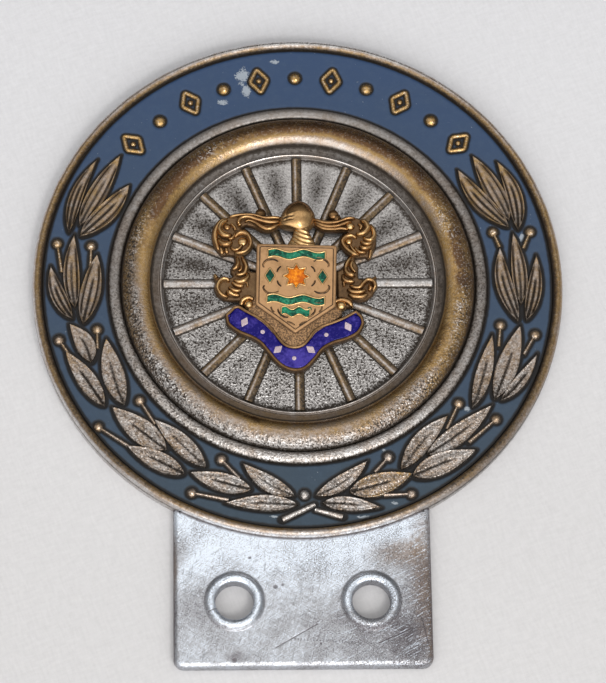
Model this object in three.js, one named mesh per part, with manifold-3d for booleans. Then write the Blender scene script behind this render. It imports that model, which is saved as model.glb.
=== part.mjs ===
// Round car badge with a bolt-on lug: a chromed casting with an enamelled wreath border, a wheel with
// spokes and a gilt crest. Millimetres, +Z out of the face, +Y to the top of the badge. The origin is on
// the back of the lug, midway between its two bolt holes.
import * as THREE from "three";
import { mergeVertices } from "three/addons/utils/BufferGeometryUtils.js";
import Module from "manifold-3d";

const wasm = await Module();
wasm.setup();

// Disc
const discRadius = 47.6;
const discCentreHeight = 58.9; // along the badge, above the line through the bolt holes
const sideWallHeight = 2.2;
const footRingWidth = 3;
const backRecess = 0.8;
const wallThickness = 1.6;

// Rings of the face, from the rim inwards, as widths and as heights above the back
const beadWidth = 1.8;
const beadHeight = 3.6;
const bandWidth = 11.7;
const bandFloor = 2;
const stepWidth = 2.3;
const stepFoot = 2.6;
const stepHeight = 3.4;
const tyreWidth = 5.6;
const tyreHeight = 5;
const coveWidth = 1.3;
const coveHeight = 3;
const ridgeWidth = 0.5;
const ridgeHeight = 3.3;
const fieldHeight = 2.3;

// Wheel
const spokeCount = 16;
const spokeWidth = 2;
const spokeHeight = 2.95;
const spokeEndGap = 0.4;
const hubRadius = 6.3;
const hubHeight = 3.2;

// Lug
const lugWidth = 45;
const lugThickness = 2.4;
const lugEndReach = 11.7; // from the line of the holes to the free end
const lugCornerRadius = 1.8;
const lugEdgeInset = 0.9;
const lugEdgeDrop = 0.7;
const holeSpacing = 23.8;
const holeRadius = 3.35;
const bossFootRadius = 5.3;
const bossTopRadius = 4.5;
const bossHeight = 0.9;
const holeChamfer = 0.2;

// Wreath
const leafEdgeHeight = 2.95;
const leafCrestHeight = 3.3;
const leafVeinHeight = 2.85;
const leafTipWidth = 0.4;
const berryRadius = 0.95;
const berryHeight = 3.4;
const stalkWidth = 0.7;
const stalkHeight = 3.05;
const stemWidth = 1.1;

// Ornament over the wreath
const ornamentCount = 11;
const ornamentPitch = 9.5; // degrees
const lozengeLength = 6;
const lozengeWidth = 4.2;
const lozengeStroke = 0.75;
const lozengeHeight = 3.1;
const lozengeSink = 0.35;

// Enamel
const enamelThickness = 0.75;
const enamelGap = 0.3;

// Crest
const crestShift = -0.4; // off the middle of the wheel, as it was soldered
const crestTurn = -1.8; // degrees
const crestReach = 14.6;
const shieldWidth = 14.4;
const shieldTop = 6.6;
const shieldShoulder = 5.1;
const shieldPoint = 10.4;
const shieldHeight = 1.9;
const shieldBevel = 0.25;
const borderWidth = 2;
const borderHeight = 1.25;
const ribbonReach = 11.6;
const ribbonDrop = 15;
const ribbonWidth = 4.9;
const ribbonHeight = 1.45;
const ribbonEdge = 0.6;
const ribbonSink = 0.5;
const ribbonEnamelThickness = 0.4;
const strandHeight = 1.9;
const webHeight = 0.8;
const helmWidth = 5.4;
const helmLength = 5.9;
const helmCentre = 12.3;
const helmHeight = 2.8;
const visorRadius = 1.5;
const visorHeight = 2.1;
const gorgetWidth = 5.6;
const gorgetHeight = 1.7;
const gorgetWaist = 2.6;
const ballRadius = 0.9;
const ballHeight = 1.9;
const cellDepth = 0.4;
const cellEnamelThickness = 0.3;
const cellGap = 0.2;
const sunRadius = 2.5;
const sunHeartRadius = 1.55;
const sunRays = 8;
const sunCentre = 0.4;
const waveHeight = 0.3;
const barHeight = 1.5;
const diamondWidth = 1.9;
const diamondLength = 3;
const diamondOffset = 4.7;

// Pins that hold the crest
const pinRadius = 0.8;
const pinSpacing = 8;
const pinHoleRadius = 1.1;
const pinHeadRadius = 1.7;
const pinHeadThickness = 0.5;

// How far one solid runs into another where they are joined, and past a face where it is cut
const overlap = 0.3;

// Counts of facets
const discSides = 56;
const bossSides = 24;
const smallSides = 8;
const archSteps = 4;

// Places that follow from the sizes above
const bandOuterRadius = discRadius - beadWidth;
const bandInnerRadius = bandOuterRadius - bandWidth;
const stepInnerRadius = bandInnerRadius - stepWidth;
const tyreInnerRadius = stepInnerRadius - tyreWidth;
const ridgeRadius = tyreInnerRadius - coveWidth;
const fieldRadius = ridgeRadius - ridgeWidth;
const discCentre = new THREE.Vector2(0, discCentreHeight);

// Each leaf of the wreath: the angle in degrees from the foot of the badge and the share of the band's
// width at its base and at its tip, then its width and the bow of its rib as shares of the band's width.
const rightLeafShares = [
  [5, 0.63, 18.5, 0.89, 0.26, -0.05],
  [12, 0.52, 28.8, 0.59, 0.39, -0.02],
  [3.5, 0.51, 19.5, 0.12, 0.27, 0.02],
  [28.3, 0.62, 44.6, 0.88, 0.38, -0.05],
  [34.2, 0.45, 55.9, 0.62, 0.33, -0.02],
  [26.5, 0.45, 46.2, 0.2, 0.33, -0.09],
  [57.7, 0.69, 72.3, 0.91, 0.22, 0.02],
  [57.2, 0.6, 78.4, 0.55, 0.36, -0.04],
  [52.1, 0.4, 74.1, 0.16, 0.28, -0.03],
  [79.7, 0.63, 97.1, 0.79, 0.23, 0.01],
  [83.6, 0.52, 104, 0.51, 0.24, -0.02],
  [79, 0.51, 100.7, 0.26, 0.26, -0.14],
  [104, 0.6, 123, 0.79, 0.25, 0.06],
  [107.1, 0.52, 127.8, 0.54, 0.29, -0.03],
  [105.3, 0.48, 127, 0.21, 0.28, -0.13],
];
const leftLeafShares = [
  [0.9, 0.64, 18.3, 0.79, 0.28, -0.06],
  [12.7, 0.48, 29, 0.55, 0.33, -0.02],
  [1.7, 0.5, 17, 0.11, 0.29, 0.02],
  [29.8, 0.61, 45.4, 0.79, 0.33, -0.04],
  [37, 0.44, 55.1, 0.56, 0.41, -0.03],
  [25.7, 0.37, 45.4, 0.2, 0.33, -0.06],
  [56.2, 0.64, 73.3, 0.81, 0.33, -0.05],
  [68, 0.5, 79.5, 0.65, 0.33, -0.08],
  [53.6, 0.39, 73.3, 0.15, 0.37, -0.01],
  [80.5, 0.58, 94.6, 0.89, 0.23, 0.04],
  [83.3, 0.52, 103.5, 0.61, 0.25, 0],
  [78.7, 0.44, 99.2, 0.2, 0.3, -0.07],
  [103.3, 0.7, 124, 0.79, 0.21, 0.04],
  [105.8, 0.57, 128.3, 0.54, 0.28, -0.05],
  [103, 0.52, 122.5, 0.14, 0.3, -0.1],
];

// Each berry: its angle and share, then those of the foot of its stalk.
const rightBerryShares = [
  [26, 0.86, 20, 0.71],
  [25.2, 0.19, 20, 0.33],
  [53.2, 0.79, 44.5, 0.71],
  [50.8, 0.19, 43, 0.33],
  [76.6, 0.8, 71, 0.71],
  [77.2, 0.25, 71, 0.31],
  [103, 0.78, 99, 0.61],
  [105.3, 0.22, 100.5, 0.26],
];
const leftBerryShares = [
  [26.1, 0.82, 17.5, 0.72],
  [22.9, 0.16, 16.5, 0.35],
  [52.9, 0.91, 43.5, 0.75],
  [52.1, 0.16, 44, 0.24],
  [76, 0.85, 71, 0.75],
  [76.4, 0.25, 71, 0.33],
  [100.2, 0.84, 93, 0.71],
  [101.1, 0.32, 95, 0.28],
];
const knotBerryShares = [0.8, 0.48];
const stemShares = [
  [3.2, 0.64, -4.4, 0.88],
  [3.2, 0.72, 9.3, 0.88],
];
const ornamentShare = 0.52;

// The stations along a leaf, as shares of its length.
const leafStationShares = [0, 0.2, 0.48, 0.78, 1];

// The ribbon's middle line, as shares of its reach and of its drop, from its middle to one end.
const ribbonShares = [
  [0, -1],
  [0.14, -0.975],
  [0.29, -0.87],
  [0.5, -0.69],
  [0.73, -0.565],
  [1, -0.44],
];

// Mantling of one side, drawn in shares of the crest's reach from the middle of the shield. These shares
// are the drawn places of the shield's side, top and shoulder and of the helm's middle.
const shieldSideShare = 0.493;
const shieldTopShare = 0.452;
const shieldShoulderShare = 0.349;
const helmCentreShare = 0.842;

// Each strand's points, with its half width there.
const strandShares = [
  [
    [0.12, 0.8, 0.05],
    [0.28, 0.71, 0.07],
    [0.44, 0.7, 0.07],
    [0.6, 0.78, 0.075],
    [0.77, 0.82, 0.09],
    [0.92, 0.72, 0.1],
    [0.93, 0.52, 0.1],
    [0.81, 0.38, 0.085],
    [0.65, 0.39, 0.075],
    [0.57, 0.5, 0.07],
    [0.64, 0.61, 0.06],
    [0.76, 0.58, 0.04],
  ],
  [
    [0.62, 0.79, 0.04],
    [0.7, 0.68, 0.06],
    [0.82, 0.65, 0.06],
    [0.86, 0.56, 0.05],
    [0.76, 0.48, 0.04],
  ],
  [
    [0.74, 0.34, 0.05],
    [0.63, 0.24, 0.06],
    [0.63, 0.1, 0.065],
    [0.74, 0.03, 0.05],
  ],
  [
    [0.57, -0.04, 0.05],
    [0.59, -0.2, 0.065],
    [0.75, -0.25, 0.07],
    [0.91, -0.17, 0.07],
    [0.93, -0.02, 0.06],
    [0.83, 0.05, 0.05],
    [0.74, -0.03, 0.045],
    [0.79, -0.11, 0.035],
  ],
];

// Thin plates behind the scrolls of one side, as outlines.
const upperWebShares = [
  [0.58, 0.76],
  [0.8, 0.84],
  [0.95, 0.74],
  [0.96, 0.5],
  [0.82, 0.34],
  [0.62, 0.36],
  [0.48, 0.42],
  [0.55, 0.6],
];
const lowerWebShares = [
  [0.72, 0.4],
  [0.62, 0.32],
  [0.58, 0.12],
  [0.47, 0],
  [0.47, -0.42],
  [0.64, -0.44],
  [0.74, -0.36],
  [0.9, -0.22],
  [0.97, -0.05],
  [0.84, 0.08],
  [0.72, 0.1],
  [0.72, 0.24],
];
const ballShares = [0.58, -0.32];
const knobShares = [0.44, 0.83];
const visorShares = [-0.125, 0.75];

const radians = (angle) => THREE.MathUtils.degToRad(angle);
const { lerp } = THREE.MathUtils;

// A closed geometry as a solid that can be joined and cut.
function solidOf(geometry) {
  geometry.deleteAttribute("normal");
  geometry.deleteAttribute("uv");
  const merged = mergeVertices(geometry);
  const mesh = new wasm.Mesh({
    numProp: 3,
    vertProperties: merged.attributes.position.array,
    triVerts: new Uint32Array(merged.index.array),
  });
  return new wasm.Manifold(mesh);
}

function joined(solids) {
  return solids.reduce((whole, solid) => whole.add(solid));
}

function geometryOf(solid) {
  const mesh = solid.getMesh();
  const geometry = new THREE.BufferGeometry();
  geometry.setAttribute("position", new THREE.BufferAttribute(mesh.vertProperties, 3));
  geometry.setIndex(new THREE.BufferAttribute(mesh.triVerts, 1));
  return geometry;
}

// The largest body of a solid that cuts may have split.
function largestBody(solid) {
  const bodies = solid.decompose();
  return bodies.reduce((best, body) => (body.volume() > best.volume() ? body : best));
}

// A closed skin through level or upright rings of points, all with the same number of points and running
// anticlockwise as seen from the last ring. caps gives each end's triangles.
function skin(rings, caps) {
  const count = rings[0].length;
  const last = (rings.length - 1) * count;
  const index = [];
  for (let ring = 0; ring + 1 < rings.length; ring++) {
    for (let i = 0; i < count; i++) {
      const here = ring * count + i;
      const next = ring * count + ((i + 1) % count);
      index.push(here, next, next + count, here, next + count, here + count);
    }
  }
  for (const [a, b, c] of caps) {
    index.push(a, c, b);
    index.push(last + a, last + b, last + c);
  }
  const positions = rings.flat().flatMap((point) => point.toArray());
  const geometry = new THREE.BufferGeometry();
  geometry.setAttribute("position", new THREE.Float32BufferAttribute(positions, 3));
  geometry.setIndex(index);
  return solidOf(geometry);
}

// A bar through upright sections, with a fan of triangles on each end.
function loft(rings) {
  const caps = [];
  for (let i = 1; i + 1 < rings[0].length; i++) {
    caps.push([0, i, i + 1]);
  }
  return skin(rings, caps);
}

// A plate through level outlines, given as [points, height], with each end filled.
function plate(levels) {
  const caps = THREE.ShapeUtils.triangulateShape(levels[0][0], []);
  const rings = levels.map(([outline, height]) =>
    outline.map((point) => new THREE.Vector3(point.x, point.y, height)),
  );
  return skin(rings, caps);
}

// A turned solid about +Z at a place, from [radius, height] points that run outwards along its foot and
// back inwards over its top.
function turned(profile, sides, centre = new THREE.Vector2()) {
  const points = profile.map(([radius, height]) => new THREE.Vector2(radius, height));
  const geometry = new THREE.LatheGeometry(points, sides);
  geometry.rotateX(Math.PI / 2);
  geometry.translate(centre.x, centre.y, 0);
  return solidOf(geometry);
}

// Points over a round ridge, from its outer foot to its inner foot or a share of the way there.
function archProfile(outerRadius, innerRadius, foot, top, steps, reach = 1) {
  const middle = (outerRadius + innerRadius) / 2;
  const halfWidth = (outerRadius - innerRadius) / 2;
  const points = [];
  for (let i = 0; i <= steps; i++) {
    const angle = (Math.PI * reach * i) / steps;
    points.push([middle + halfWidth * Math.cos(angle), foot + (top - foot) * Math.sin(angle)]);
  }
  return points;
}

// A low dome with an upright foot.
function dome(centre, radius, foot, top, sides) {
  const shoulder = lerp(foot, top, 0.45);
  const crown = lerp(foot, top, 0.85);
  const profile = [
    [0, foot],
    [radius, foot],
    [radius, shoulder],
    [radius * 0.65, crown],
    [0, top],
  ];
  return turned(profile, sides, centre);
}

// Points at the given shares of a width and a height.
function scaledPoints(shares, width, height) {
  return shares.map(([across, along]) => new THREE.Vector2(across * width, along * height));
}

// Place on the enamel band: angle in degrees from the foot of the badge, share of the band's width.
function bandPoint(angle, share) {
  const radius = bandInnerRadius + share * bandWidth;
  const turn = radians(angle);
  return new THREE.Vector2(radius * Math.sin(turn), -radius * Math.cos(turn)).add(discCentre);
}

// The middle line of a leaf on one side of the badge, 1 for right and -1 for left.
function leafRib(side, [baseAngle, baseShare, tipAngle, tipShare, , bowShare], t) {
  const bow = bowShare * Math.sin(Math.PI * t);
  return bandPoint(side * lerp(baseAngle, tipAngle, t), lerp(baseShare, tipShare, t) + bow);
}

// Half the breadth of a leaf at a share of its length: full before the middle, drawn out to the tip.
function leafHalfWidth(widthShare, t) {
  const swell = Math.max(Math.sin(Math.PI * t ** 0.8), 0) ** 0.8;
  return Math.max((widthShare * bandWidth * swell) / 2, leafTipWidth / 2);
}

// Upright rings along a path in the plane. section gives each ring's points as [across, height] from the
// half width there, and grow widens and lengthens the bar all round.
function ringsAlong(path, halfWidth, stations, section, grow) {
  const stepShare = 0.01;
  return stations.map((t, i) => {
    const ahead = path(t + stepShare).sub(path(t - stepShare)).normalize();
    const across = new THREE.Vector2(-ahead.y, ahead.x);
    const end = i === 0 ? -grow : i === stations.length - 1 ? grow : 0;
    const middle = path(t).addScaledVector(ahead, end);
    return section(halfWidth(t) + grow).map(([side, height]) => {
      const point = middle.clone().addScaledVector(across, side);
      return new THREE.Vector3(point.x, point.y, height);
    });
  });
}

const blockSection = (foot, top) => (half) => [
  [-half, foot],
  [half, foot],
  [half, top],
  [-half, top],
];
const leafSection = (half) => [
  [-half, bandFloor - overlap],
  [half, bandFloor - overlap],
  [half, leafEdgeHeight],
  [half / 2, leafCrestHeight],
  [0, leafVeinHeight],
  [-half / 2, leafCrestHeight],
  [-half, leafEdgeHeight],
];
const ridgeSection = (foot, top) => (half) => [
  [-half, foot],
  [half, foot],
  [half, lerp(foot, top, 0.6)],
  [half / 2, top],
  [-half / 2, top],
  [-half, lerp(foot, top, 0.6)],
];

function leaf(side, shares, section, grow) {
  const path = (t) => leafRib(side, shares, t);
  const halfWidth = (t) => leafHalfWidth(shares[4], t);
  return loft(ringsAlong(path, halfWidth, leafStationShares, section, grow));
}

// A straight bar on the band between two places, for stalks and stems.
function bandBar(side, [toAngle, toShare, fromAngle, fromShare], width, section, grow) {
  const from = bandPoint(side * fromAngle, fromShare);
  const to = bandPoint(side * toAngle, toShare);
  const path = (t) => from.clone().lerp(to, t);
  return loft(ringsAlong(path, () => width / 2, [0, 1], section, grow));
}

// Every raised motif of the enamel band. With a section and a margin given, the same motifs become the
// cutters that open the enamel round them.
function wreath(section, barSection, foot, berryTop, grow) {
  const motifs = [];
  const sides = [
    [1, rightLeafShares, rightBerryShares],
    [-1, leftLeafShares, leftBerryShares],
  ];
  for (const [side, leaves, berries] of sides) {
    for (const shares of leaves) {
      motifs.push(leaf(side, shares, section, grow));
    }
    for (const shares of berries) {
      const centre = bandPoint(side * shares[0], shares[1]);
      motifs.push(bandBar(side, shares, stalkWidth, barSection, grow));
      motifs.push(dome(centre, berryRadius + grow, foot, berryTop, smallSides));
    }
  }
  const knot = bandPoint(...knotBerryShares);
  motifs.push(dome(knot, berryRadius + grow, foot, berryTop, smallSides));
  for (const shares of stemShares) {
    motifs.push(bandBar(1, shares, stemWidth, barSection, grow));
  }
  return motifs;
}

function lozengeOutline(angle, inset) {
  const turn = radians(angle);
  const centre = bandPoint(angle, ornamentShare);
  const corners = [
    [1, 0],
    [0, 1],
    [-1, 0],
    [0, -1],
  ];
  const halfWidth = lozengeWidth / 2 - inset;
  const halfLength = lozengeLength / 2 - (inset * lozengeLength) / lozengeWidth;
  return scaledPoints(corners, halfWidth, halfLength).map((point) =>
    point.rotateAround(new THREE.Vector2(), turn).add(centre),
  );
}

// Open lozenges and beads, by turns, over the top of the band.
function ornamentAngles() {
  const first = 180 - (ornamentPitch * (ornamentCount - 1)) / 2;
  return Array.from({ length: ornamentCount }, (_, i) => first + i * ornamentPitch);
}

function ornament() {
  const foot = bandFloor - overlap;
  const motifs = [];
  ornamentAngles().forEach((angle, i) => {
    const centre = bandPoint(angle, ornamentShare);
    if (i % 2) {
      motifs.push(dome(centre, berryRadius, foot, berryHeight, smallSides));
      return;
    }
    const outer = lozengeOutline(angle, 0);
    const inner = lozengeOutline(angle, lozengeStroke);
    const sunk = lozengeHeight - lozengeSink;
    motifs.push(
      plate([
        [outer, foot],
        [outer, lozengeHeight],
        [inner, lozengeHeight],
        [inner, sunk],
      ]),
    );
    motifs.push(dome(centre, lozengeStroke * 0.8, foot, lozengeHeight, smallSides));
  });
  return motifs;
}

function ornamentCutters(foot, top) {
  return ornamentAngles().map((angle, i) => {
    if (i % 2) {
      return dome(bandPoint(angle, ornamentShare), berryRadius + enamelGap, foot, top, smallSides);
    }
    const outline = lozengeOutline(angle, -enamelGap);
    return plate([
      [outline, foot],
      [outline, top],
    ]);
  });
}

// The disc as one turned casting: foot ring, side wall, bead, enamel band, step, tyre, cove, ridge, field
// and hub, with a back that follows the face.
function disc() {
  const footInnerRadius = discRadius - footRingWidth;
  const hollowOuterRadius = stepInnerRadius - wallThickness / 2;
  const hollowInnerRadius = tyreInnerRadius + wallThickness / 2;
  const hollowTop = tyreHeight - wallThickness;
  const hollow = archProfile(hollowOuterRadius, hollowInnerRadius, backRecess, hollowTop, archSteps);
  const profile = [
    [0, backRecess],
    ...hollow.reverse(),
    [footInnerRadius, backRecess],
    [footInnerRadius, 0],
    [discRadius, 0],
    ...archProfile(discRadius, bandOuterRadius, sideWallHeight, beadHeight, archSteps),
    [bandOuterRadius, bandFloor],
    [bandInnerRadius, bandFloor],
    ...archProfile(bandInnerRadius, stepInnerRadius, stepFoot, stepHeight, archSteps - 1),
    ...archProfile(stepInnerRadius, tyreInnerRadius, stepFoot, tyreHeight, archSteps + 2, 0.86).slice(1),
    [tyreInnerRadius - coveWidth / 2, lerp(coveHeight, tyreHeight, 0.12)],
    [ridgeRadius, coveHeight],
    [ridgeRadius - ridgeWidth / 2, ridgeHeight],
    [fieldRadius, fieldHeight],
    [hubRadius, fieldHeight],
    [hubRadius, hubHeight],
    [0, hubHeight],
  ];
  return turned(profile, discSides, discCentre);
}

function spokes() {
  const foot = fieldHeight - overlap;
  return Array.from({ length: spokeCount }, (_, i) => {
    const turn = (2 * Math.PI * i) / spokeCount;
    const direction = new THREE.Vector2(Math.cos(turn), Math.sin(turn));
    const path = (t) => {
      const radius = lerp(hubRadius - overlap, fieldRadius - spokeEndGap, t);
      return direction.clone().multiplyScalar(radius).add(discCentre);
    };
    return loft(ringsAlong(path, () => spokeWidth / 2, [0, 1], ridgeSection(foot, spokeHeight), 0));
  });
}

// Outline of the lug, drawn in all round by an inset: square-cut sides, a free end with round corners,
// and an upper edge that lies inside the disc's side wall.
function lugOutline(inset) {
  const halfWidth = lugWidth / 2 - inset;
  const endHeight = -lugEndReach + inset;
  const joinRadius = discRadius - footRingWidth / 2;
  const joinAngle = Math.asin(halfWidth / joinRadius);
  const points = [];
  for (const side of [-1, 1]) {
    const cornerAcross = side * (halfWidth - lugCornerRadius);
    for (let i = 0; i <= archSteps; i++) {
      const turn = (Math.PI / 2) * (side < 0 ? i / archSteps : 1 - i / archSteps);
      const across = cornerAcross - side * -lugCornerRadius * Math.cos(turn);
      const along = endHeight + lugCornerRadius * (1 - Math.sin(turn));
      points.push(new THREE.Vector2(across, along));
    }
  }
  const joinSteps = 2 * archSteps;
  for (let i = 0; i <= joinSteps; i++) {
    const turn = joinAngle * (1 - (2 * i) / joinSteps);
    const point = new THREE.Vector2(Math.sin(turn), -Math.cos(turn)).multiplyScalar(joinRadius);
    points.push(point.add(discCentre));
  }
  return points;
}

function lug() {
  const whole = plate([
    [lugOutline(0), 0],
    [lugOutline(0), lugThickness - lugEdgeDrop],
    [lugOutline(lugEdgeInset * 0.3), lugThickness - lugEdgeDrop * 0.3],
    [lugOutline(lugEdgeInset), lugThickness],
  ]);
  const bosses = holeCentres().map((centre) => {
    const profile = [
      [0, lugThickness - overlap],
      [bossFootRadius, lugThickness - overlap],
      [bossFootRadius, lugThickness],
      [bossTopRadius, lugThickness + bossHeight],
      [0, lugThickness + bossHeight],
    ];
    return turned(profile, bossSides, centre);
  });
  return joined([whole, ...bosses]);
}

function holeCentres() {
  return [-1, 1].map((side) => new THREE.Vector2((side * holeSpacing) / 2, 0));
}

function boltHoles() {
  const top = lugThickness + bossHeight;
  return holeCentres().map((centre) => {
    const profile = [
      [0, -overlap],
      [holeRadius, -overlap],
      [holeRadius, top - holeChamfer],
      [holeRadius + holeChamfer + overlap, top + overlap],
      [0, top + overlap],
    ];
    return turned(profile, bossSides, centre);
  });
}

// Centres of the crest's two pins in the crest's own frame.
function pinCentres() {
  return [1, -1].map((side) => new THREE.Vector2(0, (side * pinSpacing) / 2));
}

function pinHoles() {
  const shift = new THREE.Vector2(crestShift, 0).add(discCentre);
  return pinCentres().map((centre) => {
    const place = centre.rotateAround(new THREE.Vector2(), radians(crestTurn)).add(shift);
    const profile = [
      [0, backRecess - overlap],
      [pinHoleRadius, backRecess - overlap],
      [pinHoleRadius, hubHeight + overlap],
      [0, hubHeight + overlap],
    ];
    return turned(profile, 2 * smallSides, place);
  });
}

function badgeBody() {
  const foot = bandFloor - overlap;
  const motifs = wreath(leafSection, ridgeSection(foot, stalkHeight), foot, berryHeight, 0);
  const whole = joined([disc(), lug(), ...spokes(), ...motifs, ...ornament()]);
  return [...boltHoles(), ...pinHoles()].reduce((rest, cutter) => rest.subtract(cutter), whole);
}

function ringEnamel() {
  const outer = bandOuterRadius - enamelGap;
  const inner = bandInnerRadius + enamelGap;
  const top = bandFloor + enamelThickness;
  const profile = [
    [inner, bandFloor],
    [outer, bandFloor],
    [outer, top],
    [inner, top],
    [inner, bandFloor],
  ];
  const band = turned(profile, discSides, discCentre);
  const foot = bandFloor - overlap;
  const section = blockSection(foot, leafCrestHeight);
  // A cutter's dome has its shoulder above the enamel, so that the opening has upright walls.
  const domeTop = bandFloor + 4 * enamelThickness;
  const cutters = wreath(section, section, foot, domeTop, enamelGap);
  const opened = [...cutters, ...ornamentCutters(foot, domeTop)];
  return largestBody(opened.reduce((rest, cutter) => rest.subtract(cutter), band));
}

// Outline of the shield: flat top, upright sides and a straight-sided point.
function shieldOutline(inset) {
  const halfWidth = shieldWidth / 2 - inset;
  const slope = Math.hypot(shieldWidth / 2, shieldPoint - shieldShoulder) / (shieldWidth / 2);
  const top = shieldTop - inset;
  const shoulder = -shieldShoulder + inset * 0.4;
  const point = -shieldPoint + inset * slope;
  return [
    new THREE.Vector2(-halfWidth, shoulder),
    new THREE.Vector2(0, point),
    new THREE.Vector2(halfWidth, shoulder),
    new THREE.Vector2(halfWidth, top),
    new THREE.Vector2(-halfWidth, top),
  ];
}

function shieldBorder() {
  const outline = [
    new THREE.Vector2(-shieldWidth / 2 - borderWidth / 2, -shieldShoulder - borderWidth / 2),
    new THREE.Vector2(-borderWidth, -shieldPoint - borderWidth),
    new THREE.Vector2(borderWidth, -shieldPoint - borderWidth),
    new THREE.Vector2(shieldWidth / 2 + borderWidth / 2, -shieldShoulder - borderWidth / 2),
    new THREE.Vector2(shieldWidth / 2, -shieldShoulder + borderWidth),
    new THREE.Vector2(-shieldWidth / 2, -shieldShoulder + borderWidth),
  ];
  return plate([
    [outline, 0],
    [outline, borderHeight],
  ]);
}

function ribbonPath() {
  const half = scaledPoints(ribbonShares, ribbonReach, ribbonDrop);
  const other = half.slice(1).map((point) => new THREE.Vector2(-point.x, point.y));
  return new THREE.SplineCurve([...other.reverse(), ...half]);
}

// The ribbon's band between two heights, drawn in at its sides and its ends by an inset.
function ribbonBand(inset, foot, top) {
  const curve = ribbonPath();
  const steps = 4 * archSteps;
  const halfWidth = ribbonWidth / 2 - inset;
  const endShare = inset / curve.getLength();
  const near = [];
  const far = [];
  for (let i = 0; i <= steps; i++) {
    const t = lerp(endShare, 1 - endShare, i / steps);
    const ahead = curve.getTangentAt(t);
    const across = new THREE.Vector2(-ahead.y, ahead.x);
    near.push(curve.getPointAt(t).addScaledVector(across, -halfWidth));
    far.push(curve.getPointAt(t).addScaledVector(across, halfWidth));
  }
  const outline = [...near, ...far.reverse()];
  return plate([
    [outline, foot],
    [outline, top],
  ]);
}

// A value between the sizes of the two stops around a share, where each stop is [share, size].
function betweenStops(stops, share) {
  const after = stops.findIndex(([stopShare]) => stopShare >= share);
  const i = THREE.MathUtils.clamp(after < 0 ? stops.length : after, 1, stops.length - 1);
  const [[lowShare, low], [highShare, high]] = [stops[i - 1], stops[i]];
  return lerp(low, high, (share - lowShare) / (highShare - lowShare));
}

// Moves a drawn point of the mantling to its place beside the shield and the helm as they are sized.
function fitted(point) {
  const across = [
    [0, 0],
    [shieldSideShare, shieldWidth / 2],
    [1, crestReach],
  ];
  const along = [
    [-shieldShoulderShare, -shieldShoulder],
    [shieldTopShare, shieldTop],
    [helmCentreShare, helmCentre],
  ];
  point.x = Math.sign(point.x) * betweenStops(across, Math.abs(point.x));
  point.y = betweenStops(along, point.y);
  return point;
}

// One strand of the mantling: a round ridge on a smooth line, mirrored for the left side.
function strand(side, shares) {
  const curve = new THREE.SplineCurve(scaledPoints(shares, side, 1));
  const steps = Math.ceil(1.5 * (shares.length - 1));
  const stations = Array.from({ length: steps + 1 }, (_, i) => i / steps);
  const path = (t) => curve.getPoint(THREE.MathUtils.clamp(t, 0, 1));
  const halfWidth = (t) => {
    const place = t * (shares.length - 1);
    const i = Math.min(Math.floor(place), shares.length - 2);
    return lerp(shares[i][2], shares[i + 1][2], place - i);
  };
  const rings = ringsAlong(path, halfWidth, stations, ridgeSection(0, strandHeight), 0);
  return loft(rings.map((ring) => ring.map(fitted)));
}

function web(side, shares) {
  const points = scaledPoints(shares, side, 1).map(fitted);
  const outline = THREE.ShapeUtils.isClockWise(points) ? points.reverse() : points;
  return plate([
    [outline, 0],
    [outline, webHeight],
  ]);
}

function mantling(side) {
  const [ball, knob] = scaledPoints([ballShares, knobShares], side, 1).map(fitted);
  return [
    ...strandShares.map((shares) => strand(side, shares)),
    web(side, upperWebShares),
    web(side, lowerWebShares),
    dome(ball, ballRadius, 0, ballHeight, smallSides),
    dome(knob, ballRadius, 0, ballHeight, smallSides),
  ];
}

function helm() {
  const skull = turned(
    [[0, 0], ...archProfile(1, -1, 0, helmHeight, 2 * archSteps, 0.5)],
    2 * smallSides,
  )
    .scale([helmWidth / 2, helmLength / 2, 1])
    .translate([0, helmCentre, 0]);
  const visorCentre = fitted(new THREE.Vector2(...visorShares));
  const visor = dome(visorCentre, visorRadius, 0, visorHeight, smallSides);
  const outline = [
    new THREE.Vector2(-gorgetWidth / 2, shieldTop - shieldBevel),
    new THREE.Vector2(gorgetWidth / 2, shieldTop - shieldBevel),
    new THREE.Vector2(gorgetWaist / 2, helmCentre - helmLength / 2),
    new THREE.Vector2(gorgetWaist / 2, helmCentre),
    new THREE.Vector2(-gorgetWaist / 2, helmCentre),
    new THREE.Vector2(-gorgetWaist / 2, helmCentre - helmLength / 2),
  ];
  const gorget = plate([
    [outline, 0],
    [outline, gorgetHeight],
  ]);
  return [skull, visor, gorget];
}

// A bar with wavy edges across the shield, drawn in by an inset.
function wavyBar(width, middle, inset) {
  const waves = 2;
  const steps = waves * 6;
  const halfWidth = width / 2 - inset;
  const edge = (side, i) => {
    const share = i / steps;
    const line = middle + waveHeight * Math.sin(2 * Math.PI * waves * share);
    return new THREE.Vector2(lerp(-halfWidth, halfWidth, share), line + side * (barHeight / 2 - inset));
  };
  const lower = Array.from({ length: steps + 1 }, (_, i) => edge(-1, i));
  const upper = Array.from({ length: steps + 1 }, (_, i) => edge(1, steps - i));
  return [...lower, ...upper];
}

function sun(inset) {
  return Array.from({ length: 2 * sunRays }, (_, i) => {
    const radius = i % 2 ? sunHeartRadius - inset : sunRadius - 2 * inset;
    const turn = (Math.PI * i) / sunRays;
    return new THREE.Vector2(radius * Math.sin(-turn), radius * Math.cos(turn) + sunCentre);
  });
}

function diamond(side, inset) {
  const halfWidth = diamondWidth / 2 - inset;
  const halfLength = diamondLength / 2 - (inset * diamondLength) / diamondWidth;
  return [
    new THREE.Vector2(side * diamondOffset, sunCentre - halfLength),
    new THREE.Vector2(side * diamondOffset + halfWidth, sunCentre),
    new THREE.Vector2(side * diamondOffset, sunCentre + halfLength),
    new THREE.Vector2(side * diamondOffset - halfWidth, sunCentre),
  ];
}

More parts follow.
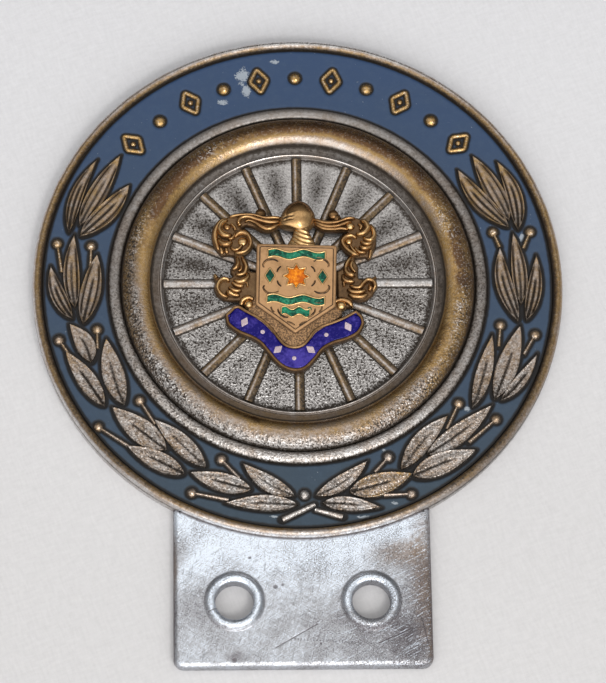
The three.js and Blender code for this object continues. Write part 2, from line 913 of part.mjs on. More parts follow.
// Cells of the shield that hold enamel, each with an outline that takes an inset.
const barWidth = shieldWidth - 2 * borderWidth;
const lowerBarPlace = -(shieldShoulder + shieldPoint) / 2 + borderWidth * 0.7;
const cells = {
  upper_bar_enamel: (inset) => wavyBar(barWidth, shieldTop - borderWidth, inset),
  middle_bar_enamel: (inset) => wavyBar(barWidth, -shieldShoulder + borderWidth / 2, inset),
  lower_bar_enamel: (inset) => wavyBar(barWidth / 2, lowerBarPlace, inset),
  sun_enamel: (inset) => sun(inset),
  left_diamond_enamel: (inset) => diamond(-1, inset),
  right_diamond_enamel: (inset) => diamond(1, inset),
};

function cellPlate(outline, foot, top) {
  return plate([
    [outline, foot],
    [outline, top],
  ]);
}

function crest() {
  const shield = plate([
    [shieldOutline(0), 0],
    [shieldOutline(0), shieldHeight - shieldBevel],
    [shieldOutline(shieldBevel), shieldHeight],
  ]);
  const ribbon = ribbonBand(0, 0, ribbonHeight).subtract(
    ribbonBand(ribbonEdge, ribbonHeight - ribbonSink, ribbonHeight + overlap),
  );
  const whole = joined([
    shieldBorder(),
    ...mantling(1),
    ...mantling(-1),
    ...helm(),
  ]);
  // The ribbon's recess stays free of the border and the scrolls beside it.
  const clear = ribbonBand(ribbonEdge, ribbonHeight - ribbonSink, helmHeight + overlap);
  const plain = joined([whole.subtract(clear), ribbon, shield]);
  const floor = shieldHeight - cellDepth;
  const cuts = Object.values(cells).map((outline) => cellPlate(outline(0), floor, shieldHeight + overlap));
  return cuts.reduce((rest, cutter) => rest.subtract(cutter), plain);
}

function crestPin(centre) {
  const profile = [
    [0, backRecess - hubHeight - pinHeadThickness],
    [pinHeadRadius * 0.7, backRecess - hubHeight - pinHeadThickness],
    [pinHeadRadius, backRecess - hubHeight - pinHeadThickness / 2],
    [pinHeadRadius, backRecess - hubHeight],
    [pinRadius, backRecess - hubHeight],
    [pinRadius, 0],
    [0, 0],
  ];
  return turned(profile, 2 * smallSides, centre);
}

const finishes = {
  chrome: { color: 0xb9b4ac, metalness: 1, roughness: 0.25 },
  blueEnamel: { color: 0x3f6288, metalness: 0, roughness: 0.35 },
  gilt: { color: 0xb98a4e, metalness: 1, roughness: 0.35 },
  darkBlueEnamel: { color: 0x201078, metalness: 0, roughness: 0.15 },
  greenEnamel: { color: 0x1f8a5c, metalness: 0, roughness: 0.15 },
  orangeEnamel: { color: 0xf07818, metalness: 0, roughness: 0.15 },
  brass: { color: 0xa88a58, metalness: 1, roughness: 0.4 },
};

function piece(name, solid, finish) {
  const mesh = new THREE.Mesh(geometryOf(solid), new THREE.MeshStandardMaterial(finishes[finish]));
  mesh.name = name;
  return mesh;
}

const badge = new THREE.Group();
badge.add(piece("badge_body", badgeBody(), "chrome"));
badge.add(piece("ring_enamel", ringEnamel(), "blueEnamel"));

// The crest is built about its own middle and set on the hub a little askew.
const crestGroup = new THREE.Group();
crestGroup.position.set(crestShift, discCentreHeight, hubHeight);
crestGroup.rotation.z = radians(crestTurn);
crestGroup.add(piece("crest", crest(), "gilt"));
const ribbonFloor = ribbonHeight - ribbonSink;
const ribbonEnamel = ribbonBand(ribbonEdge + cellGap, ribbonFloor, ribbonFloor + ribbonEnamelThickness);
crestGroup.add(piece("ribbon_enamel", ribbonEnamel, "darkBlueEnamel"));
for (const [name, outline] of Object.entries(cells)) {
  const floor = shieldHeight - cellDepth;
  const fill = cellPlate(outline(cellGap), floor, floor + cellEnamelThickness);
  crestGroup.add(piece(name, fill, name === "sun_enamel" ? "orangeEnamel" : "greenEnamel"));
}
pinCentres().forEach((centre, i) => {
  crestGroup.add(piece(i ? "lower_crest_pin" : "upper_crest_pin", crestPin(centre), "brass"));
});
badge.add(crestGroup);

export default badge;
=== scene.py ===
import math

import bpy
import numpy as np
from mathutils import Matrix, Vector
from mathutils.geometry import tessellate_polygon


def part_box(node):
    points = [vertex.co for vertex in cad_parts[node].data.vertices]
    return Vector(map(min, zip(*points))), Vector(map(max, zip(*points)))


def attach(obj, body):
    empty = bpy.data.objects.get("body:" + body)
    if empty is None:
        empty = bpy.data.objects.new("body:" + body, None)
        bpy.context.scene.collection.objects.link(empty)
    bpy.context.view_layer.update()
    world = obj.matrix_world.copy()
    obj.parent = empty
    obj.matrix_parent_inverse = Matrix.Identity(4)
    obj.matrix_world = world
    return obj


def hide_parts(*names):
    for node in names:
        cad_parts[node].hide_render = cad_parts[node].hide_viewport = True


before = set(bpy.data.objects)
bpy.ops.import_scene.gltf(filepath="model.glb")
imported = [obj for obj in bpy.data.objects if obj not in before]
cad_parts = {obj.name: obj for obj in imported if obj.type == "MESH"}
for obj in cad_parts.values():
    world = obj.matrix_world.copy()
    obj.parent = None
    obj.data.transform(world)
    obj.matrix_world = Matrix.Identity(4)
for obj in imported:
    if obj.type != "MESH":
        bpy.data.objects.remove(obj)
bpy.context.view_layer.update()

# A round enamelled car badge lying on its back. Sizes are millimetres until a mesh is made. Places on the
# disc are counted from its middle, and angles from the foot of the badge, positive to the right.
scene = bpy.context.scene
millimetre = 0.001
bodyLow, bodyHigh = [np.array(corner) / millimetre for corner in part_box("badge_body")]
discRadius = (bodyHigh[0] - bodyLow[0]) / 2
discCentre = np.array([0.0, bodyHigh[1] - discRadius])
print("frame loaded: disc radius %.1f mm, its middle %.1f mm up" % (discRadius, discCentre[1]))


def smoothStep(value, low, high):
    # 0 below low, 1 above high, and between them the cubic 3x^2 - 2x^3
    x = np.clip((value - low) / (high - low), 0, 1)
    return x * x * (3 - 2 * x)


def between(value, low, lowFull, highFull, high):
    # 1 from lowFull to highFull, falling smoothly to 0 at low and at high
    return smoothStep(value, low, lowFull) * (1 - smoothStep(value, highFull, high))


def bell(distance, width):
    # 1 at no distance, falling as the square of the distance over the width
    return np.exp(-((np.asarray(distance) / width) ** 2))


def smoothLine(points, count):
    # a curve through every point: between two of them a cubic whose slopes are half the step from the
    # point before to the point after
    points = np.asarray(points, float)
    padded = np.vstack([points[:1], points, points[-1:]])
    place = np.linspace(0, len(points) - 1, count)
    i = np.minimum(place.astype(int), len(points) - 2)
    t = (place - i)[:, None]
    a, b, c, d = padded[i], padded[i + 1], padded[i + 2], padded[i + 3]
    curve = 2 * b + (c - a) * t + (2 * a - 5 * b + 4 * c - d) * t**2 + (3 * b - a - 3 * c + d) * t**3
    return curve / 2


def resampled(outline, count):
    # points at even steps along a closed line
    closed = np.vstack([outline, outline[:1]])
    run = np.concatenate([[0], np.cumsum(np.linalg.norm(np.diff(closed, axis=0), axis=1))])
    place = np.linspace(0, run[-1], count, endpoint=False)
    return np.column_stack([np.interp(place, run, closed[:, k]) for k in range(closed.shape[1])])


def rounded(outline, reach, steps=8):
    # each corner is cut back by the reach and bridged by the parabola between the two cuts
    outline = np.asarray(outline, float)
    before, after = np.roll(outline, 1, 0) - outline, np.roll(outline, -1, 0) - outline
    before = before / np.linalg.norm(before, axis=1, keepdims=True) * reach
    after = after / np.linalg.norm(after, axis=1, keepdims=True) * reach
    t = np.linspace(0, 1, steps)[None, :, None]
    corner = outline[:, None] + before[:, None] * (1 - t) ** 2 + after[:, None] * t**2
    return corner.reshape(-1, 2)


def drawnIn(outline, distance):
    # each point of an anticlockwise outline moves inwards, square to the line through its neighbours
    ahead = np.roll(outline, -1, 0) - np.roll(outline, 1, 0)
    ahead = ahead / np.maximum(np.linalg.norm(ahead, axis=1, keepdims=True), 1e-9)
    return outline + np.column_stack([-ahead[:, 1], ahead[:, 0]]) * distance


def anticlockwise(outline):
    outline = np.asarray(outline, float)
    x, y = outline.T
    area = (x * np.roll(y, -1) - y * np.roll(x, -1)).sum()
    return outline if area > 0 else outline[::-1]


def spun(points, degrees):
    # turned anticlockwise about the origin: x cos - y sin and x sin + y cos
    turn = math.radians(degrees)
    return points @ np.array([[math.cos(turn), math.sin(turn)], [-math.sin(turn), math.cos(turn)]])


def bandPlace(angle, radius):
    # from an angle and a radius on the disc to the badge's own x and y
    turn = np.radians(angle)
    x = radius * np.sin(turn) + discCentre[0]
    return np.stack(np.broadcast_arrays(x, discCentre[1] - radius * np.cos(turn)), -1)


def turnedRings(profile, centre, count):
    # each [radius, height] of the profile goes once round the centre, starting at the foot of the badge
    turn = np.linspace(0, 2 * math.pi, count, endpoint=False)
    radius, height = np.asarray(profile, float).T[:, :, None]
    across = centre[0] + radius * np.sin(turn)
    along = centre[1] - radius * np.cos(turn)
    return np.stack([across, along, height + 0 * turn], -1)


def arch(outer, inner, foot, top, steps, reach=1.0):
    # half an ellipse between two radii, from the outer foot over the top; reach is the share that is kept
    turn = np.linspace(0, math.pi * reach, steps + 1)
    radius = (outer + inner) / 2 + (outer - inner) / 2 * np.cos(turn)
    return np.column_stack([radius, foot + (top - foot) * np.sin(turn)])


def carried(path, halfWidth, across, height, looped=False):
    # a section carried along a path in the plane: each point of the section lies beside the path by its
    # share of the half width there, at its own height
    path = np.asarray(path)[:, :2]
    ahead = np.roll(path, -1, 0) - np.roll(path, 1, 0) if looped else np.gradient(path, axis=0)
    ahead = ahead / np.linalg.norm(ahead, axis=1, keepdims=True)
    side = np.stack([-ahead[:, 1], ahead[:, 0]], -1)
    reach = np.broadcast_to(halfWidth, len(path))[:, None] * np.atleast_2d(across)
    flat = path[:, None] + side[:, None] * reach[..., None]
    return np.concatenate([flat, np.broadcast_to(height, reach.shape)[..., None]], -1)


def bevelled(foot, top, steps):
    # the levels of a plate: its foot, then each [inset, drop under the top]
    return [[0, foot], *[[inset, top - drop] for inset, drop in steps]]


def quadsBetween(near, far):
    # from each point of the near rings one quad to the next point along and to the far rings
    return np.stack([near, np.roll(near, -1, 1), np.roll(far, -1, 1), far], -1).reshape(-1, 4)


class Shell:
    # closed surfaces in millimetres, gathered into the mesh of one piece
    def __init__(self, *paints):
        self.points, self.corners, self.sizes = [], [], []
        # the first paint darkens a surface: grime, and painted shade in corners, grooves, hollows and at the
        # feet of raised parts
        self.paints = {paint: [] for paint in ("dirt", "brown", "grain", "patch", *paints)}
        self.count = 0

    def addFaces(self, points, quads, triangles, **paints):
        # faces are turned over when the volume inside them comes out negative
        corners = (points - points.mean(0))[np.vstack([quads[:, :3], quads[:, [0, 2, 3]], triangles])]
        inside = (np.cross(corners[:, 0], corners[:, 1]) * corners[:, 2]).sum()
        for faces in (quads, triangles):
            turned = faces if inside > 0 else faces[:, ::-1]
            self.corners.append((turned + self.count).ravel())
            self.sizes.append(np.full(len(faces), faces.shape[1]))
        self.points.append(points)
        self.count += len(points)
        for name, values in self.paints.items():
            values.append(np.broadcast_to(paints.get(name, 0.0), len(points)))

    def add(self, rings, looped=False, **paints):
        # quads join each ring to the next; unless the rings loop, a fan closes the first and the last
        rings = np.asarray(rings, float)
        rows, columns = rings.shape[:2]
        index = np.arange(rows * columns).reshape(rows, columns)
        near, far = (index, np.roll(index, -1, 0)) if looped else (index[:-1], index[1:])
        points = rings.reshape(-1, 3)
        fans = [np.zeros((0, 3), int)]
        if not looped:
            for end, (ring, turn) in enumerate([(index[0], 1), (index[-1], -1)]):
                middle = np.full(columns, rows * columns + end)
                fans.append(np.stack([ring, middle, np.roll(ring, -1)][::turn], -1))
            points = np.vstack([points, rings[0].mean(0), rings[-1].mean(0)])
        spread = {name: np.broadcast_to(value, (rows, columns)) for name, value in paints.items()}
        flat = {
            name: np.concatenate([value.ravel(), [] if looped else value[[0, -1]].mean(1)])
            for name, value in spread.items()
        }
        self.addFaces(points, quadsBetween(near, far), np.vstack(fans), **flat)

    def addPlate(self, outline, levels, holes=(), boreSteps=64, **paints):
        # a plate with an upright edge: levels are [inset, height] from its foot to its flat top, and each
        # hole is a list of [centre, levels of radius and height] from the top down to the foot; a paint is
        # one number or one for each level of the outline and then of each hole
        outline = anticlockwise(outline)
        rings = [np.column_stack([drawnIn(outline, d), np.full(len(outline), z)]) for d, z in levels]
        strips = [rings, *[list(turnedRings(bore, centre, boreSteps)) for centre, bore in holes]]
        points, quads, tops, feet, start = [], [], [], [], 0
        for strip in strips:
            index = start + np.arange(len(strip) * len(strip[0])).reshape(len(strip), -1)
            quads.append(quadsBetween(index[:-1], index[1:]))
            foot, top = (index[0], index[-1]) if strip is rings else (index[-1], index[0])
            tops.append(top)
            feet.append(foot)
            points += strip
            start += index.size
        sizes = [len(ring) for ring in points]
        points = np.vstack(points)
        triangles = []
        for faces, upwards in ((tops, 1), (feet, -1)):
            order = np.concatenate(faces)
            lists = [[Vector(points[i]) for i in face] for face in faces]
            found = order[np.array(tessellate_polygon(lists))]
            a, b, c = points[found[:, 0]], points[found[:, 1]], points[found[:, 2]]
            turn = np.cross(b - a, c - a)[:, 2] * upwards
            triangles.append(np.where(turn[:, None] > 0, found, found[:, ::-1]))
        flat = {
            name: np.repeat(np.broadcast_to(value, len(sizes)), sizes) for name, value in paints.items()
        }
        self.addFaces(points, np.vstack(quads), np.vstack(triangles), **flat)

    def make(self, name, material, slot, *nodes, sharp=38):
        # faces that meet at more than the sharp angle, in degrees, show an edge
        mesh = bpy.data.meshes.new(name)
        points = np.concatenate(self.points).astype(np.float32) * millimetre
        corners = np.concatenate(self.corners).astype(np.int32)
        sizes = np.concatenate(self.sizes)
        mesh.vertices.add(len(points))
        mesh.vertices.foreach_set("co", points.ravel())
        mesh.loops.add(len(corners))
        mesh.loops.foreach_set("vertex_index", corners)
        mesh.polygons.add(len(sizes))
        mesh.polygons.foreach_set("loop_start", (np.cumsum(sizes) - sizes).astype(np.int32))
        mesh.update(calc_edges=True)
        for paint, values in self.paints.items():
            layer = mesh.attributes.new(paint, "FLOAT", "POINT")
            layer.data.foreach_set("value", np.concatenate(values).astype(np.float32))
        mesh.shade_smooth()
        mesh.set_sharp_from_angle(angle=math.radians(sharp))
        mesh.materials.append(material)
        piece = bpy.data.objects.new(name, mesh)
        scene.collection.objects.link(piece)
        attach(piece, "root")
        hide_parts(*nodes)
        print("%s: %d faces" % (name, len(sizes)))


class Wire:
    # one output of a material's nodes; arithmetic on wires adds Math nodes
    def __init__(self, finish, socket):
        self.finish, self.socket = finish, socket

    def math(self, operation, *others):
        values = dict(enumerate((self, *others)))
        return self.finish.node("ShaderNodeMath", {"operation": operation}, values)

    def __add__(self, other):
        return self.math("ADD", other)

    def __sub__(self, other):
        return self.math("SUBTRACT", other)

    def __rsub__(self, other):
        return self.finish.node("ShaderNodeMath", {"operation": "SUBTRACT"}, {0: other, 1: self})

    def __mul__(self, other):
        return self.math("MULTIPLY", other)

    def __truediv__(self, other):
        return self.math("DIVIDE", other)

    __radd__, __rmul__ = __add__, __mul__

    def held(self):
        return self.finish.node("ShaderNodeClamp", {}, {"Value": self})

    def step(self, low, high):
        # 0 below low and 1 above high, smooth between them
        ends = {"Value": self, "From Min": low, "From Max": high}
        return self.finish.node("ShaderNodeMapRange", {"interpolation_type": "SMOOTHSTEP"}, ends)


class Finish:
    # a material whose node tree is written as expressions, or a world, whose places are directions
    def __init__(self, name, world=False):
        self.material = (bpy.data.worlds if world else bpy.data.materials).new(name)
        self.material.use_nodes = True
        self.tree = self.material.node_tree
        self.tree.nodes.clear()
        self.place = self.node("ShaderNodeTexCoord", {}, {}, "Generated" if world else "Object")
        self.axes = self.node("ShaderNodeSeparateXYZ", {}, {"Vector": self.place}).socket.node.outputs
        # x and y of the badge in millimetres, counted from the middle of the disc
        self.x = Wire(self, self.axes[0]) / millimetre
        self.y = Wire(self, self.axes[1]) / millimetre - float(discCentre[1])

    def node(self, kind, settings, values, output=0):
        # settings are set first, a ramp's stops among them, then each socket gets its value or its link
        made = self.tree.nodes.new(kind)
        for name, setting in settings.items():
            if name == "stops":
                self.setStops(made.color_ramp, setting)
            else:
                setattr(made, name, setting)
        for name, value in values.items():
            if isinstance(value, Wire):
                self.tree.links.new(value.socket, made.inputs[name])
            else:
                made.inputs[name].default_value = value
        return Wire(self, made.outputs[output] if len(made.outputs) else None)

    def setStops(self, ramp, stops):
        while len(ramp.elements) < len(stops):
            ramp.elements.new(1.0)
        for element, (position, colour) in zip(ramp.elements, stops):
            element.position = position
            element.color = (*colour, 1)

    def paint(self, name):
        return self.node("ShaderNodeAttribute", {"attribute_name": name}, {}, "Fac")

    def noise(self, size, detail=2.0, roughness=0.5):
        # size is that of one blotch in millimetres
        values = {"Scale": 1 / (size * millimetre), "Detail": detail, "Roughness": roughness}
        return self.node("ShaderNodeTexNoise", {}, {"Vector": self.place, **values})

    def streaks(self, size, turn, stretch):
        # noise drawn out along a line that is turned in the plane of the badge
        moved = {"Vector": self.place, "Rotation": (0, 0, math.radians(turn)), "Scale": (stretch, 1, 1)}
        place = self.node("ShaderNodeMapping", {"vector_type": "TEXTURE"}, moved)
        values = {"Vector": place, "Scale": 1 / (size * millimetre), "Detail": 3.0, "Roughness": 0.6}
        return self.node("ShaderNodeTexNoise", {}, values)

    def away(self, x, y, reachX=1.0, reachY=1.0):
        # distance from a place, in shares of a reach along each axis
        across, along = (self.x - x) / reachX, (self.y - y) / reachY
        return (across * across + along * along).math("SQRT")

    def ramp(self, factor, *stops):
        return self.node("ShaderNodeValToRGB", {"stops": stops}, {"Fac": factor}, "Color")

    def mix(self, factor, first, second, blend="MIX"):
        # sockets 0, 6, 7 and output 2 of a Mix node are those of its colour mode
        colours = [c if isinstance(c, Wire) else (*c, 1) for c in (first, second)]
        settings = {"data_type": "RGBA", "blend_type": blend}
        return self.node("ShaderNodeMix", settings, {0: factor, 6: colours[0], 7: colours[1]}, 2)

    def relief(self, height, depth):
        # a bump of that depth in millimetres
        values = {"Height": height, "Distance": depth * millimetre, "Strength": 1.0}
        return self.node("ShaderNodeBump", {}, values, "Normal")

    def surface(self, values):
        shader = self.node("ShaderNodeBsdfPrincipled", {}, values, "BSDF")
        self.node("ShaderNodeOutputMaterial", {}, {"Surface": shader})
        return self.material


# Worn chromium plate over brass. The brown paint runs from plate, over bared bronze and brass, to tarnish,
# and the patch paint says how far patches of one stray into the other. A size is that of one blotch.
plateLook = {
    "plate": (0.62, 0.6, 0.59),
    "bronze": (0.44, 0.34, 0.265),
    "brass": (0.47, 0.3, 0.12),
    "tarnish": (0.14, 0.075, 0.036),
    # where each of the four stands on the brown paint
    "stops": (0.0, 0.33, 0.6, 1.0),
    # the colour that grime and painted shade darken towards
    "grimeAndShade": (0.03, 0.022, 0.016),
    # the colour of the painted glints
    "glint": (0.92, 0.9, 0.88),
    "roughness": 0.22,
    "cloudSize": 5.0,
    "blotSize": 2.4,
    "spotSize": 0.8,
    "speckSize": 0.38,
    "glintSize": 0.32,
    "reliefDepth": 0.09,
}


def wornPlate(name, look):
    f = Finish(name)
    brown, dirt, grain, patch = [f.paint(paint) for paint in ("brown", "dirt", "grain", "patch")]
    clouds, blots = f.noise(look["cloudSize"], 3.0), f.noise(look["blotSize"], 4.0, 0.62)
    spots, specks = f.noise(look["spotSize"], 4.0, 0.7), f.noise(look["speckSize"], 2.0, 0.6)
    # painted highlights: glints are bright specks mixed into the colour
    glints = f.noise(look["glintSize"], 1.0).step(0.55, 0.66) * grain
    tone = brown + (clouds - 0.5) * 0.4 + (spots - 0.5) * (0.25 + patch * 1.6)
    tone = (tone + (blots - 0.5) * patch * 2.6).held()
    metals = [look[metal] for metal in ("plate", "bronze", "brass", "tarnish")]
    colour = f.mix((glints * 0.8).held(), f.ramp(tone, *zip(look["stops"], metals)), look["glint"])
    speckle = (specks + (spots - 0.5) * 0.5).step(0.47, 0.64) * grain
    # grime and painted shade from the paint, with dark specks, less where the painted glints are
    grimeAndShade = (dirt * (0.8 + spots * 0.4) + speckle * 0.82 - glints * 0.3).held()
    relief = specks * (0.15 + grain * 2.6) + spots * (0.35 + patch * 0.8)
    values = {
        "Base Color": f.mix(grimeAndShade, colour, look["grimeAndShade"]),
        "Metallic": (1 - grimeAndShade * 0.6).held(),
        "Roughness": (look["roughness"] + grain * 0.1 + grimeAndShade * 0.25 + (clouds - 0.5) * 0.16).held(),
        "Normal": f.relief(relief, look["reliefDepth"]),
    }
    return f.surface(values)


plateFinish = wornPlate("worn chromium plate", plateLook)

# The rings of the face, as widths from the rim inwards and heights above the back
face = {
    "beadWidth": 1.8,
    "beadHeight": 3.6,
    "sideWallHeight": 2.2,
    "bandWidth": 11.7,
    "bandFloor": 2.0,
    "stepWidth": 2.3,
    "stepFoot": 2.6,
    "stepHeight": 3.4,
    "tyreWidth": 5.6,
    "tyreHeight": 5.0,
    "coveWidth": 1.3,
    "coveHeight": 2.98,
    "ridgeHeight": 3.3,
    "fieldHeight": 2.3,
    "hubRadius": 6.3,
    "hubHeight": 3.2,
    "smallestRing": 0.6,
    "footRingWidth": 3.0,
    "backRecess": 0.8,
    "wallThickness": 1.6,
    "turns": 400,
    # what shows at an angle from the foot, from -180 at the top over the left side to the top again
    "beadBrown": [
        (-180, 0.05), (-140, 0.3), (-120, 0.5), (-90, 0.6), (-50, 0.52), (-20, 0.3), (0, 0.2), (20, 0.28),
        (50, 0.48), (90, 0.64), (130, 0.4), (180, 0.05),
    ],
    "tyreOuterBrown": [
        (-180, 0.8), (-90, 0.9), (-60, 0.4), (-40, 0.0), (0, 0.0), (30, 0.3), (60, 0.85), (180, 0.8),
    ],
    "tyreMiddleBrown": [
        (-180, 1.0), (-120, 0.95), (-90, 0.48), (-60, 0.42), (0, 0.35), (50, 0.6), (90, 0.9), (180, 1.0),
    ],
    # painted shade that darkens the middle of the tyre
    "tyreMiddleShade": [
        (-180, 0.05), (-120, 0.05), (-90, 0.4), (-50, 0.06), (0, 0.05), (90, 0.12), (180, 0.05),
    ],
    "tyreInnerBrown": [
        (-180, 0.22), (-140, 0.6), (-90, 0.6), (-45, 0.56), (0, 0.45), (45, 0.58), (100, 0.6), (150, 0.32),
        (180, 0.22),
    ],
    # painted shade on the tyre's inner slope
    "tyreInnerShade": [(-180, 0.3), (-120, 0.05), (-60, 0.0), (60, 0.0), (120, 0.0), (150, 0.1), (180, 0.3)],
    # grime and painted shade on the tyre's outer slope
    "tyreGrimeAndShade": [
        (-180, 0.0), (-90, 0.5), (-45, 0.45), (-20, 0.2), (0, 0.28), (30, 0.35), (90, 0.34), (140, 0.0),
        (180, 0.0),
    ],
    "tyreGrain": [
        (-180, 0.1), (-90, 0.15), (-60, 0.7), (0, 0.6), (40, 0.7), (60, 0.3), (100, 0.3), (180, 0.1),
    ],
    # patches of bared plate and of copper on the tyre: angle, share of the way inwards, reach in degrees
    "silverPatches": [
        (-104, 0.28, 13), (-78, 0.4, 9), (-52, 0.3, 14), (78, 0.42, 11), (44, 0.42, 13), (112, 0.55, 8),
        (-148, 0.35, 7),
    ],
    "copperPatches": [
        (-142, 0.42, 9), (-122, 0.6, 8), (62, 0.72, 10), (96, 0.45, 10), (150, 0.4, 8), (172, 0.35, 6),
        (-20, 0.75, 12),
    ],
    # grime and painted shade in the cove, on the step and on the bead
    "coveGrimeAndShade": [(-180, 0.86), (-90, 0.8), (0, 0.55), (50, 0.75), (90, 0.92), (180, 0.86)],
    "stepGrimeAndShade": [
        (-180, 0.47), (-90, 0.64), (-45, 0.25), (0, 0.0), (45, 0.36), (90, 0.72), (135, 0.6), (180, 0.47),
    ],
    "beadGrimeAndShade": [
        (-180, 0.0), (-90, 0.44), (-45, 0.68), (-15, 0.22), (0, 0.25), (20, 0.4), (45, 0.72), (90, 0.4),
        (140, 0.12), (180, 0.0),
    ],
    "fieldGrain": [(-180, 0.25), (-120, 0.45), (-70, 0.8), (0, 1.0), (70, 0.8), (120, 0.4), (180, 0.2)],
    # the field is darker at the left and the right
    "fieldDarkening": [
        (-180, 0.12), (-90, 0.34), (-45, 0.12), (0, 0.14), (45, 0.16), (90, 0.36), (135, 0.2), (180, 0.12),
    ],
    "stepGrain": [(-180, 0.0), (-90, 0.1), (-60, 0.5), (-40, 0.7), (0, 0.5), (90, 0.15), (180, 0.0)],
    "cloudRadius": 19.0,
    "cloudReach": 5.0,
    "fieldClouds": [(-180, 0.68), (-110, 0.62), (-60, 0.45), (0, 0.2), (60, 0.35), (110, 0.55), (180, 0.68)],
}
bandOuter = discRadius - face["beadWidth"]
bandInner = bandOuter - face["bandWidth"]
stepInner = bandInner - face["stepWidth"]
tyreInner = stepInner - face["tyreWidth"]
ridgeRadius = tyreInner - face["coveWidth"]

# The wheel inside the tyre: its spokes run from the hub to the ridge
wheel = {"count": 16, "width": 1.9, "height": 2.95, "hubOverlap": 0.4, "ridgeGap": 0.8, "steps": 24}


def around(angle, table):
    # straight lines between the rows of a table of [angle, value]
    angles, values = np.array(table).T
    return np.interp(angle, angles, values)


def castingProfile():
    # [radius, height] from the middle of the hub outwards over the face, then back along the underside
    field, cove, lip, ridgeTop = face["fieldHeight"], face["coveHeight"], ridgeRadius, face["ridgeHeight"]
    hub, hubTop, floor, first = face["hubRadius"], face["hubHeight"], face["bandFloor"], face["smallestRing"]
    hubEdge = [
        [first, hubTop],
        [hub - 0.4, hubTop],
        [hub - 0.1, hubTop - 0.08],
        [hub, hubTop - 0.3],
        [hub + 0.05, field],
    ]
    ridge = [
        [lip - 0.85, field],
        [lip - 0.6, field + 0.2],
        [lip - 0.45, ridgeTop - 0.25],
        [lip - 0.25, ridgeTop],
        [lip - 0.08, ridgeTop - 0.08],
        [lip + 0.08, cove],
        [lip + 0.4, cove],
        [lip + 0.8, cove + 0.14],
        [lip + 1.2, cove + 0.27],
        [lip + 1.4, cove + 0.32],
    ]
    front = [
        hubEdge,
        np.column_stack([np.linspace(hub + 0.3, lip - 1.0, 20), np.full(20, field)]),
        smoothLine(ridge, 26),
        arch(stepInner, tyreInner, face["stepFoot"], face["tyreHeight"], 40, 0.86)[::-1],
        arch(bandInner, stepInner, face["stepFoot"], face["stepHeight"], 14)[::-1],
        [[bandInner + 0.02, floor + 0.3], [bandInner + 0.05, floor], [bandOuter - 0.05, floor]],
        arch(discRadius, bandOuter, face["sideWallHeight"], face["beadHeight"], 22)[::-1],
        [[discRadius, 1.2], [discRadius, 0.35], [discRadius - 0.12, 0.1], [discRadius - 0.35, 0]],
    ]
    recess, wall, side = face["backRecess"], face["wallThickness"], discRadius - face["footRingWidth"]
    underside = [
        [[side + 0.15, 0], [side, 0.12], [side, recess - 0.1], [side - 0.1, recess]],
        arch(stepInner - wall / 2, tyreInner + wall / 2, recess, face["tyreHeight"] - wall, 18),
        [[tyreInner, recess], [first, recess]],
    ]
    return np.vstack(front), np.vstack(underside)


